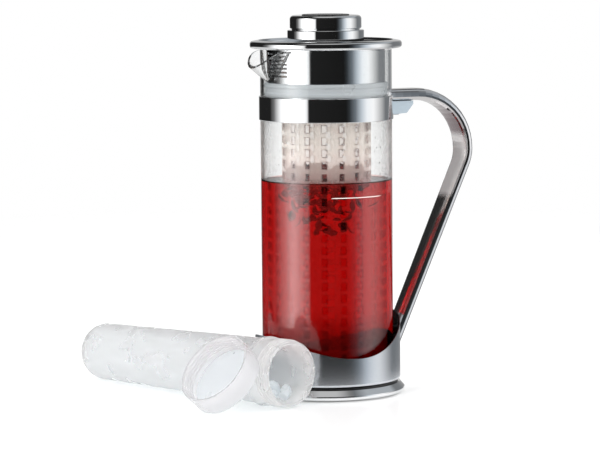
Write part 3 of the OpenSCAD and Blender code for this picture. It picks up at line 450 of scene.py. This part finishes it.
def makeInfuserMaterial():
    # frosted polypropylene, steamed over and stained by the tea: cream, mauve towards the tea, which is partly the
    # stain and partly painted light, the tea's red glow; a dark rim round each slot is painted shade of its edge, in
    # patches; below the surface it is wet, and nearly clear
    mat, t, where = startMaterial("frostedInfuser", "#F4E8E0")
    axes = addNode(t, "SeparateXYZ", {0: where})
    cloud = addNode(t, "TexNoise", {"Vector": where, "Scale": 1 / (9 * mm), "Detail": 3.0})
    angle = addNode(t, "Math", {0: axes.outputs["Y"], 1: axes.outputs["X"]}, operation="ARCTAN2")
    # how far a point lies outside the nearest slot, in mm, round the wall and up it
    outside = []
    for place, unit, first, span, size in (
            (angle, 2 * math.pi / slots["columns"], slots["turn"] * slots["columns"] / 360,
             2 * math.pi * slots["radius"] / slots["columns"], slots["wide"]),
            (axes.outputs["Z"], slots["pitch"] * mm, slots["first"] / slots["pitch"], slots["pitch"], slots["high"])):
        for operation, number in (("DIVIDE", unit), ("ADD", 0.5 - first), ("FRACT", 0), ("SUBTRACT", 0.5),
                                  ("ABSOLUTE", 0), ("MULTIPLY", span), ("SUBTRACT", size / 2)):
            place = addNode(t, "Math", {0: place, 1: number}, operation=operation)
        outside.append(place)
    nearest = addNode(t, "Math", {0: outside[0], 1: outside[1]}, operation="MAXIMUM")
    zone = {}
    for name, value, unit in (("dry", axes.outputs["Z"], mm), ("cream", axes.outputs["Z"], mm), ("rim", nearest, 1),
                              ("rimPatches", cloud, 1), ("blotched", cloud, 1)):
        zone[name] = addNode(t, "MapRange", {"Value": value, "From Min": stainsAndPaintedLight[name][0] * unit,
                                             "From Max": stainsAndPaintedLight[name][1] * unit},
                             interpolation_type="SMOOTHSTEP")
    # painted shade: a dark rim along each slot's edge, broken into patches by the cloudy pattern
    rim = addNode(t, "Math", {0: zone["rim"], 1: zone["rimPatches"]}, operation="MULTIPLY")
    # mauve low down: partly a stain of steam and tea, partly painted light, the red glow the tea casts up on it
    tone = addNode(t, "Mix", {"Factor": zone["cream"], "A": hexToLinear("#F2DAD4"),
                              "B": hexToLinear("#FFF6EC")}, data_type="RGBA")
    blotch = addNode(t, "Mix", {"Factor": zone["blotched"], "A": tone, "B": hexToLinear("#F8E4DA")}, data_type="RGBA")
    depth = addNode(t, "Math", {0: rim, 1: 0.9}, operation="MULTIPLY")
    toneWithPaintedLight = addNode(t, "Mix", {"Factor": depth, "A": blotch, "B": hexToLinear("#6E4A46")}, data_type="RGBA")
    outer = addNode(t, "BsdfPrincipled", {"Base Color": toneWithPaintedLight, "Roughness": 0.5, "IOR": 1.49,
                                          "Normal": etchedGrain(t, where, 0.6)})
    inner = addNode(t, "BsdfTranslucent", {"Color": toneWithPaintedLight})
    milk = addNode(t, "MixShader", {0: 0.5, 1: outer, 2: inner})
    # how much of it covers what is behind: the wall, and more on the rims, both less where it is wet
    wall = addNode(t, "Math", {0: zone["dry"], 1: 0.18, 2: 0.15}, operation="MULTIPLY_ADD")
    crust = addNode(t, "Math", {0: zone["dry"], 1: 0.22, 2: 0.13}, operation="MULTIPLY_ADD")
    cover = addNode(t, "Math", {0: rim, 1: crust, 2: wall}, operation="MULTIPLY_ADD")
    clear = addNode(t, "BsdfTransparent")
    both = addNode(t, "MixShader", {0: cover, 1: clear, 2: milk})
    return finishMaterial(mat, lightThrough(t, both, "#F4ECE8"))


def makePlain(name, colour, rough, grit, depth):
    # moulded plastic or rubber: one colour, with the mould's fine grain, drawn coarser than it is so that it shows;
    # grit and depth are its width and height in mm
    mat, t, where = startMaterial(name, colour)
    grain = addNode(t, "TexNoise", {"Vector": where, "Scale": 1 / (grit * mm), "Detail": 4.0})
    haze = addNode(t, "MapRange", {"Value": grain, "To Min": rough - 0.06, "To Max": rough + 0.06})
    bump = addNode(t, "Bump", {"Height": grain, "Strength": 0.2, "Distance": depth * mm})
    return finishMaterial(mat, addNode(t, "BsdfPrincipled", {
        "Base Color": hexToLinear(colour), "Roughness": haze, "Normal": bump}))


def makeLeafMaterial():
    # hibiscus and tea leaf, swollen and wet: dark wine red to brown, a dull sheen
    mat, t, where = startMaterial("wetHibiscus", "#4A1216")
    patch = addNode(t, "TexNoise", {"Vector": where, "Scale": 1 / (5 * mm), "Detail": 3.0})
    colour = addNode(t, "ValToRGB", {"Fac": patch})
    for stop, (place, shade) in zip(colour.color_ramp.elements, ((0.38, "#2A0A0C"), (0.62, "#7C2420"))):
        stop.position = place
        stop.color = hexToLinear(shade)
    veins = addNode(t, "Bump", {"Height": patch, "Strength": 0.5, "Distance": 0.5 * mm})
    return finishMaterial(mat, addNode(t, "BsdfPrincipled", {
        "Base Color": colour.outputs["Color"], "Roughness": 0.38, "Normal": veins}))


def makeWater():
    # drops of water: clear
    mat, t, where = startMaterial("waterDrops", "#E8F0F2")
    drop = addNode(t, "BsdfPrincipled", {"Base Color": hexToLinear("#FCFEFE"), "Roughness": 0.0,
                                         "IOR": 1.333, "Transmission Weight": 1.0})
    return finishMaterial(mat, lightThrough(t, drop, "#F8FAFA"))


def makeIceMaterial():
    # cloudy ice from a freezer tray: white inside, wet outside
    mat, t, where = startMaterial("cloudyIce", "#D8E2EA")
    cloud = addNode(t, "TexNoise", {"Vector": where, "Scale": 1 / (7 * mm), "Detail": 4.0})
    haze = addNode(t, "MapRange", {"Value": cloud, "To Min": 0.15, "To Max": 0.55})
    dents = addNode(t, "Bump", {"Height": cloud, "Strength": 0.3, "Distance": 1.0 * mm})
    lump = addNode(t, "BsdfPrincipled", {
        "Base Color": hexToLinear("#F4F7F9"), "Roughness": haze, "IOR": 1.31, "Transmission Weight": 0.7,
        "Normal": dents})
    return finishMaterial(mat, lightThrough(t, lump, "#EEF2F4"))


polishedSteel = makePolishedSteel()
handleSteel = makeHandleSteel()
satinSteel = makeSatinSteel()
screwSteel = makeScrewSteel()
glassMat = makeGlass()
teaMat = makeTea()
frostedTube = makeFrosted("frostedPolypropylene", "#FAF9F9", 0.26, 0.84, 0.7, 0.2)
frostedInfuser = makeInfuserMaterial()
clearCap = makeFrosted("clearPolypropylene", "#F9F8F9", 0.16, 0.84, 0.9, 0.14)
silicone = makeFrosted("naturalSilicone", "#ECEEF0", 0.3, 0.4, 0.5)
blackRubber = makePlain("blackRubber", "#1B1B1C", 0.72, 0.5, 0.05)
blackPlastic = makePlain("blackAbs", "#101012", 0.32, 0.7, 0.02)
iceMat = makeIceMaterial()
greyPlastic = makePlain("greyNylon", "#B4C2CC", 0.38, 0.7, 0.02)

cadMaterials = [
    (polishedSteel, ["foot_ring", "neck_band", "strainer_collar", "lid_plate", "knob_step", "knob_drum"]),
    (handleSteel, ["handle"]),
    (satinSteel, ["base_cup"]),
    (screwSteel, ["base_screws", "base_nuts", "bracket_screw", "handle_foot_screws", "socket_screws", "knob_screw"]),
    (glassMat, ["glass_beaker"]),
    (frostedInfuser, ["lid_socket", "infuser_coupling", "infuser_basket", "infuser_end_cap"]),
    (frostedTube, ["ice_tube"]),
    (clearCap, ["tube_cap"]),
    (silicone, ["glass_seat", "seal_ring", "lid_gasket", "cap_liner"]),
    (blackRubber, ["base_pad"]),
    (blackPlastic, ["groove_ring", "knob_disc"]),
    (greyPlastic, ["handle_bracket"]),
    (iceMat, ["ice_filling"]),
]
for material, nodes in cadMaterials:
    for node in nodes:
        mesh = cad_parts[node].data
        mesh.materials.clear()
        mesh.materials.append(material)
print("materials on the CAD nodes")


# all the sizes of pieces below are in mm, from the pitcher's axis and up from the table

# tea: fills the glass from its floor, with a raised edge where it meets the wall
tea = {"radius": 47.85, "level": 162.5, "floor": 18.05, "bend": 6.85, "meniscus": 1.6, "rise": 1.1}


def makeTeaBody(material):
    wall, bend, steps = tea["radius"], tea["bend"], 5
    outline = [(0, tea["floor"])] + arc(wall - bend, tea["floor"] + bend, bend, -90, 0, 10)
    for k in range(steps + 1):
        part = k / steps
        outline.append((wall - tea["meniscus"] * part, tea["level"] + tea["rise"] * (1 - part) ** 2))
    outline.append((0, tea["level"]))
    points, faces = lathe(outline, closed=False)
    makeObject("tea", points, faces, material, "pitcher")


makeTeaBody(teaMat)
print("tea poured")


# leaves and fruit: curled flakes that float in the infuser, packed at the top and hanging lower in the middle; room
# is the radius that they fill, spare how far their tips reach past it, settle how far down most of them hang
leaves = {"count": 420, "room": 28.5, "spare": 2.5, "top": 171.0, "heap": 3, "settle": 11.0, "lowest": 124.0,
          "long": (5, 12), "wide": (3, 6), "thick": (0.35, 0.7), "curl": (0.6, 2.4), "tilt": 1.3, "seed": 12}


def makeLeaves(material):
    rng = random.Random(leaves["seed"])
    points, faces = [], []
    for _ in range(leaves["count"]):
        out = leaves["room"] * math.sqrt(rng.random())
        around = rng.uniform(0, 2 * math.pi)
        sink = -math.log(1 - rng.random()) * leaves["settle"] * (1.7 - 1.2 * out / leaves["room"])  # most in the middle
        spot = Vector((out * math.cos(around), out * math.sin(around), max(leaves["top"] - sink, leaves["lowest"])))
        long, wide = rng.uniform(*leaves["long"]), rng.uniform(*leaves["wide"])
        curl, thick = rng.uniform(*leaves["curl"]), rng.uniform(*leaves["thick"])
        turnTo = (Matrix.Rotation(rng.uniform(0, 6.28), 3, "Z")
                  @ Matrix.Rotation(rng.uniform(-leaves["tilt"], leaves["tilt"]), 3, "Y"))
        start, cols, rows = len(points), 6, 3
        for side in (1, -1):
            for i in range(cols):
                u = i / (cols - 1) - 0.5
                for j in range(rows):
                    v = (j / (rows - 1) - 0.5) * (1 - 3.2 * u * u)  # a leaf is narrow at both ends
                    bend = curl * u
                    flat = Vector((long * math.sin(bend) / curl, wide * v,
                                   long * (1 - math.cos(bend)) / curl + wide * 0.5 * v * v + side * thick / 2))
                    at = spot + turnTo @ flat
                    # tips that would reach through the infuser's wall lie along it
                    far, wall = math.hypot(at.x, at.y), leaves["room"] + leaves["spare"]
                    if far > wall:
                        at.x, at.y = at.x * wall / far, at.y * wall / far
                    points.append((at.x, at.y, min(at.z, leaves["top"] + leaves["heap"])))
        under = start + cols * rows
        for i in range(cols - 1):
            for j in range(rows - 1):
                a, b = start + i * rows + j, start + (i + 1) * rows + j
                faces.append((a, b, b + 1, a + 1))
                a, b = a - start + under, b - start + under
                faces.append((a, a + 1, b + 1, b))
        edge = ([i * rows for i in range(cols)] + [(cols - 1) * rows + j for j in range(1, rows)]
                + [i * rows + rows - 1 for i in range(cols - 2, -1, -1)] + [j for j in range(rows - 2, 0, -1)])
        for a, b in zip(edge, edge[1:] + edge[:1]):
            faces.append((start + b, start + a, under + a, under + b))
    makeObject("leavesAndFruit", points, faces, material, "infuser", smooth=50)


# lid plate: pressed from sheet, its edge turned down over the rim and rounded, with a raised bead inside it; flat,
# inside and foot are the radii at which its underside ends, turns down and stands lowest
lidPlate = {"bore": 3.2, "under": 265.0, "floor": 266.2, "flat": 49.6, "inside": 50.6, "foot": 51.4, "low": 262.9,
            "edge": 57.7, "footRound": 2.2, "topRound": 2.4, "drop": 3.0, "bead": 269.1, "beadRadius": 51.8,
            "beadRound": 0.7, "beadFoot": 50.4, "beadSlope": 1.2, "hollowRound": 1.1, "insideRise": 0.4}


def makeLidPlate(material):
    p = lidPlate
    outline = ([(p["bore"], p["under"]), (p["flat"], p["under"]), (p["inside"], p["low"] + p["insideRise"]),
                (p["foot"], p["low"])]
               + arc(p["edge"] - p["footRound"], p["low"] + p["footRound"], p["footRound"], -80, 0, 8)
               + arc(p["edge"] - p["topRound"], p["bead"] - p["drop"], p["topRound"], 0, 62, 8)
               + arc(p["beadRadius"], p["bead"] - p["beadRound"], p["beadRound"], 70, 160, 6)
               + [(p["beadFoot"], p["floor"] + p["beadSlope"])]
               + arc(p["beadFoot"] - p["beadSlope"], p["floor"] + p["hollowRound"], p["hollowRound"], 0, -90, 5)
               + [(p["bore"], p["floor"])])
    points, faces = lathe(outline)
    piece = makeObject("lidPlate", points, faces, material, "lid", smooth=40)
    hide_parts("lid_plate")


# knob disc: moulded, a low dome with a rounded edge
knobDisc = {"radius": 18, "low": 286.4, "edge": 287.7, "round": 0.6, "top": 288.5}


def makeKnobDisc(material):
    d, steps = knobDisc, 8
    rim = d["edge"] + d["round"]
    outline = ([(0, d["low"]), (d["radius"], d["low"]), (d["radius"], d["edge"])]
               + arc(d["radius"] - d["round"], d["edge"], d["round"], 0, 80, 4)
               + [(d["radius"] * k / steps, rim + (d["top"] - rim) * (1 - (k / steps) ** 2))
                  for k in range(steps - 1, -1, -1)])
    points, faces = lathe(outline, closed=False)
    piece = makeObject("knobDisc", points, faces, material, "lid", smooth=40)
    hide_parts("knob_disc")


# fill line: a thin enamel line fired on the outside of the glass, thinner at both ends; from and to are in degrees
# round from the handle
fillLine = {"radius": 50.06, "height": 152.6, "wide": 0.65, "thick": 0.1, "from": -112.5, "to": -62.0,
            "starts": (0.35, 14), "ends": (0.2, 9), "edge": 0.7, "steps": 48}


def makeFillLine(material):
    sections = []
    for i in range(fillLine["steps"] + 1):
        part = i / fillLine["steps"]
        angle = math.radians(fillLine["from"] + (fillLine["to"] - fillLine["from"]) * part)
        half = fillLine["wide"] / 2 * min(1, fillLine["starts"][0] + fillLine["starts"][1] * part,
                                          fillLine["ends"][0] + fillLine["ends"][1] * (1 - part))
        flat = half * fillLine["edge"]
        low, high = fillLine["radius"], fillLine["radius"] + fillLine["thick"]
        sections.append([(out * math.cos(angle), out * math.sin(angle), fillLine["height"] + z)
                         for out, z in ((low, -half), (high, -flat), (high, flat), (low, half))])
    points, faces = bar(sections)
    makeObject("fillLine", points, faces, material, "pitcher")


# droplets: steam that has settled on the inside of the glass above the tea, as low domes that sag a little
droplets = {"count": 150, "wall": 47.72, "low": 168.0, "high": 205.0, "size": (0.25, 0.85), "flat": 0.45,
            "sag": 1.25, "sunk": 0.02, "root": 0.1, "seed": 5}


def makeDroplets(material):
    rng = random.Random(droplets["seed"])
    points, faces = [], []
    around, layers = 10, 3
    for _ in range(droplets["count"]):
        angle = rng.uniform(0, 2 * math.pi)
        high = droplets["low"] + (droplets["high"] - droplets["low"]) * rng.random() ** 1.3
        size = droplets["size"][0] + (droplets["size"][1] - droplets["size"][0]) * rng.random() ** 2
        inward = Vector((-math.cos(angle), -math.sin(angle), 0))
        aside = Vector((-math.sin(angle), math.cos(angle), 0))
        spot = -inward * (droplets["wall"] - droplets["sunk"]) + Vector((0, 0, high))
        start = len(points)
        points.append(tuple(spot - inward * droplets["root"]))
        for k in range(layers):
            lift, spread = math.sin(k / layers * math.pi / 2), math.cos(k / layers * math.pi / 2)
            for j in range(around):
                turnBy = 2 * math.pi * j / around
                up = math.sin(turnBy) * (droplets["sag"] if math.sin(turnBy) < 0 else 1.0)
                points.append(tuple(spot + size * (aside * math.cos(turnBy) * spread + Vector((0, 0, up * spread))
                                                   + inward * lift * droplets["flat"])))
        points.append(tuple(spot + inward * size * droplets["flat"]))
        for j in range(around):
            n = (j + 1) % around
            faces.append((start, start + 1 + n, start + 1 + j))
            for k in range(layers - 1):
                a, b = start + 1 + k * around, start + 1 + (k + 1) * around
                faces.append((a + j, a + n, b + n, b + j))
            last = start + 1 + (layers - 1) * around
            faces.append((last + j, last + n, start + 1 + layers * around))
    makeObject("droplets", points, faces, material, "pitcher", smooth=80)


# ice tube: a smooth shell with a true screw thread on its neck, lying beside the base; the last values of it and of
# its cap place them as the CAD source does
iceTube = {"length": 228, "closedRadius": 21.98, "radius": 24.4, "wall": 2.2, "bend": 15, "neckRadius": 24.2,
           "neckLength": 24, "stopRadius": 26, "stopHeight": 2.4, "stopEdge": 0.3, "stopUnder": (0.1, 0.25),
           "angle": -72.9, "side": 80.2, "reach": 45, "mouthHeight": 26.5598, "tilt": 1.2280}
# the thread's wide and narrow are its width at the wall and at its crest, as shares of the pitch; root is how deep
# it stands in the wall, and runOut the share of its length over which it rises at each end
thread = {"pitch": 3.6, "turns": 4, "depth": 1.1, "wide": 0.62, "narrow": 0.2, "root": 0.25, "runOut": 1 / 14}
tubeCap = {"radius": 29, "height": 18, "wall": 2, "lean": 40, "footOut": 56.1488, "along": 28.5}


def turnedTo(points, matrix):
    return [tuple(matrix @ Vector(p)) for p in points]


def tubePlace():
    # from a tube that stands at the origin to where it lies on the table
    return (Matrix.Rotation(math.radians(iceTube["angle"] - 90), 4, "Z")
            @ Matrix.Translation((iceTube["side"], 0, 0)) @ Matrix.Rotation(math.radians(90), 4, "Z")
            @ Matrix.Translation((iceTube["reach"], 0, iceTube["mouthHeight"]))
            @ Matrix.Rotation(math.radians(90 - iceTube["tilt"]), 4, "Y")
            @ Matrix.Translation((0, 0, -iceTube["length"])))


def capPlace():
    # from a cap that stands at the origin to where it leans on the tube
    return (Matrix.Rotation(math.radians(iceTube["angle"] - 90), 4, "Z")
            @ Matrix.Translation((iceTube["side"] + tubeCap["footOut"], iceTube["reach"] - tubeCap["along"], 0))
            @ Matrix.Rotation(math.radians(90 - tubeCap["lean"]), 4, "Y")
            @ Matrix.Translation((-tubeCap["radius"], 0, 0)))


def helix(wallRadius, low, outward):
    # a screw ridge on a wall, thinning to nothing at both ends; outward is 1 on a neck, -1 inside a cap
    pitch, around = thread["pitch"], 72
    steps = int(thread["turns"] * around)
    sections = []
    for i in range(steps + 1):
        part = i / steps
        angle = 2 * math.pi * i / around
        rise = low + pitch * (thread["turns"] - 1) * part + pitch / 2
        crest = thread["depth"] * min(1, part / thread["runOut"], (1 - part) / thread["runOut"])
        sections.append([((wallRadius + outward * r) * math.cos(angle), (wallRadius + outward * r) * math.sin(angle),
                          rise + z * pitch / 2)
                         for r, z in ((-thread["root"], -thread["wide"]), (crest, -thread["narrow"]),
                                      (crest, thread["narrow"]), (-thread["root"], thread["wide"]))])
    return bar(sections, inward=outward < 0)


def makeIceTube(material):
    t, wall, bend, edge = iceTube, iceTube["wall"], iceTube["bend"], iceTube["stopEdge"]
    stop = t["length"] - t["neckLength"] - t["stopHeight"]
    bore = t["neckRadius"] - wall
    inEnd, inBend, lip = t["closedRadius"] - wall, bend - wall, wall / 4
    outline = ([(0, 0)] + arc(t["closedRadius"] - bend, bend, bend, -90, 0, 14)
               + [(t["radius"], stop - wall), (t["stopRadius"] - edge, stop - t["stopUnder"][0]),
                  (t["stopRadius"], stop + t["stopUnder"][1]),
                  (t["stopRadius"], stop + t["stopHeight"] - edge), (t["stopRadius"] - edge, stop + t["stopHeight"]),
                  (t["neckRadius"], stop + t["stopHeight"]), (t["neckRadius"], t["length"] - lip)]
               + arc(t["neckRadius"] - lip, t["length"] - lip, lip, 0, 90, 4)
               + arc(bore + lip, t["length"] - lip, lip, 90, 180, 4)
               + [(bore, stop), (t["radius"] - wall, stop - 2 * wall)]
               + arc(inEnd - inBend, wall + inBend, inBend, 0, -90, 14) + [(0, wall)])
    points, faces = lathe(outline, turns=144)
    shell = makeObject("iceTube", turnedTo(points, tubePlace()), faces, material, "ice_core")
    low = t["length"] - thread["pitch"] * (thread["turns"] + 0.5)
    points, faces = helix(t["neckRadius"], low, 1)
    ridge = makeObject("iceTubeThread", turnedTo(points, tubePlace()), faces, material, "ice_core",
                       smooth=30)
    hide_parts("ice_tube")
    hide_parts("ice_tube")


def makeTubeCap(material):
    c, wall, lip = tubeCap, tubeCap["wall"], tubeCap["wall"] / 4
    bore = c["radius"] - wall
    outline = ([(0, 0)] + arc(c["radius"] - wall, wall, wall, -90, 0, 8)
               + [(c["radius"], c["height"] - lip)] + arc(c["radius"] - lip, c["height"] - lip, lip, 0, 90, 4)
               + [(bore + lip, c["height"])] + [(bore, c["height"] - lip), (bore, wall), (0, wall)])
    points, faces = lathe(outline, turns=144)
    shell = makeObject("tubeCap", turnedTo(points, capPlace()), faces, material, "ice_core_cap")
    low = c["height"] - thread["pitch"] * thread["turns"] - lip
    points, faces = helix(bore, low, -1)
    ridge = makeObject("tubeCapThread", turnedTo(points, capPlace()), faces, material, "ice_core_cap",
                       smooth=30)
    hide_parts("tube_cap")
    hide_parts("tube_cap")


# ice in the tube: pieces frozen together that follow the bore, broken off at a slant, and some loose before them;
# crack and seam are the depth and width of what parts the pieces, step how unevenly they stand
ice = {"endRadius": 19.5, "shoulderRadius": 21.9, "shoulder": 197.2, "low": 2.5, "bend": 12.5, "bendTop": 15,
       "front": 181, "slants": (30, 12, 21), "seeds": 130, "crack": 2.4, "seam": 2.2, "step": 1.3,
       "reach": 20, "seed": 8}
# each loose piece: how far along the tube, down and aside it lies, and its size; all have flat broken sides
looseIce = {"pieces": [(189, 8.0, -5.0, 8.5), (192, 13.5, 7.5, 7.0), (199, 12.5, -10.0, 7.5), (203, 14.0, 3.0, 6.8),
                       (211, 15.0, -5.5, 6.0), (213, 14.5, 8.5, 5.2), (219, 16.4, 1.0, 4.6)],
            "cuts": 8, "cutAt": (0.5, 0.8), "flatness": 0.95, "clear": 0.15, "fromMouth": 1}


def makeIce(material):
    rng = random.Random(ice["seed"])
    front, around = ice["front"], 120
    cells = KDTree(ice["seeds"])
    sunk = []
    for i in range(ice["seeds"]):
        out, turnBy = ice["reach"] * math.sqrt(rng.random()), rng.uniform(0, 2 * math.pi)
        cells.insert((out * math.cos(turnBy), out * math.sin(turnBy), rng.uniform(0, front)), i)
        sunk.append(rng.random() * ice["step"])
    cells.balance()

    def breakAt(x, y):
        # the broken front: three slanting faces round the axis
        tilts = [(x * math.cos(2 * math.pi * i / 3) + y * math.sin(2 * math.pi * i / 3)) * math.tan(math.radians(a))
                 for i, a in enumerate(ice["slants"])]
        return front - max(tilts)

    def wallAt(z):
        part = (z - ice["bendTop"]) / (ice["shoulder"] - ice["bendTop"])
        return ice["endRadius"] + (ice["shoulderRadius"] - ice["endRadius"]) * part

    def depthAt(at):
        # each cell is one frozen piece, sunk by an amount of its own, with a crack where two of them meet
        (_, cell, near), (_, _, further) = cells.find_n(at, 2)
        return sunk[cell] + ice["crack"] * max(0, 1 - (further - near) / ice["seam"]) ** 2

    circle = [(math.cos(2 * math.pi * k / around), math.sin(2 * math.pi * k / around)) for k in range(around)]
    points, rings, longSteps, frontSteps = [(0, 0, ice["low"])], [], 72, 10
    foot = arc(ice["endRadius"] - ice["bend"], ice["low"] + ice["bend"], ice["bend"], -90, 0, 8)
    for r, z in foot:
        rings.append([(r, z)] * around)
    for step in range(1, longSteps + 1):  # along the wall of the bore
        ring = []
        for x, y in circle:
            z = foot[-1][1] + (breakAt(ice["reach"] * x, ice["reach"] * y) - foot[-1][1]) * step / longSteps
            ring.append((wallAt(z), z))
        rings.append(ring)
    outermost = rings[-1]
    for step in range(1, frontSteps):  # over the broken front to its middle
        ring = []
        for (x, y), (out, _) in zip(circle, outermost):
            r = out * (1 - step / frontSteps)
            ring.append((r, breakAt(r * x, r * y)))
        rings.append(ring)
    for index, ring in enumerate(rings):
        for (x, y), (r, z) in zip(circle, ring):
            deep = depthAt((r * x, r * y, z))
            if index < len(foot) + longSteps:
                r -= deep * min(1, index / len(foot))
            if index >= len(foot) + longSteps - 1:
                z -= deep
            points.append((r * x, r * y, z))
    points.append((0, 0, front - depthAt((0, 0, front))))
    faces = [(0, 1 + (k + 1) % around, 1 + k) for k in range(around)]
    for i in range(len(rings) - 1):
        a, b = 1 + i * around, 1 + (i + 1) * around
        faces += [(a + k, a + (k + 1) % around, b + (k + 1) % around, b + k) for k in range(around)]
    last = 1 + (len(rings) - 1) * around
    faces += [(last + k, last + (k + 1) % around, len(points) - 1) for k in range(around)]
    core = makeObject("iceCore", turnedTo(points, tubePlace()), faces, material, "ice_core", smooth=25)
    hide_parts("ice_filling")

    # the loose pieces are balls with flat faces broken off in random directions
    ball = bmesh.new()
    bmesh.ops.create_icosphere(ball, subdivisions=2, radius=1)
    shape = [v.co.copy() for v in ball.verts]
    sides = [tuple(v.index for v in f.verts) for f in ball.faces]
    ball.free()
    points, faces = [], []
    for along, down, aside, size in looseIce["pieces"]:
        cuts = [(Vector([rng.gauss(0, 1) for _ in range(3)]).normalized(), rng.uniform(*looseIce["cutAt"]))
                for _ in range(looseIce["cuts"])]
        start = len(points)
        for v in shape:
            at = v.copy()
            for normal, depth in cuts:
                over = at.dot(normal) - depth
                if over > 0:
                    at -= normal * over * looseIce["flatness"]
            x, y, z = down + at.x * size, aside + at.y * size, along + at.z * size
            # a piece that reaches the wall rests on it, and none stands out of the mouth
            far, room = math.hypot(x, y), iceTube["neckRadius"] - iceTube["wall"] - looseIce["clear"]
            if far > room:
                x, y = x * room / far, y * room / far
            points.append((x, y, min(z, iceTube["length"] - looseIce["fromMouth"])))
        faces += [tuple(i + start for i in side) for side in sides]
    makeObject("iceLoose", turnedTo(points, tubePlace()), faces, material, "ice_core", smooth=20)


leafMat = makeLeafMaterial()
enamel = makePlain("whiteEnamel", "#F4EFEA", 0.3, 0.4, 0.01)
waterMat = makeWater()
makeLidPlate(polishedSteel)
makeKnobDisc(blackPlastic)
makeLeaves(leafMat)
makeFillLine(enamel)
makeDroplets(waterMat)
print("leaves, fill line and droplets")
makeIceTube(frostedTube)
makeTubeCap(clearCap)
makeIce(iceMat)
print("ice tube, cap and ice")

print("finished")
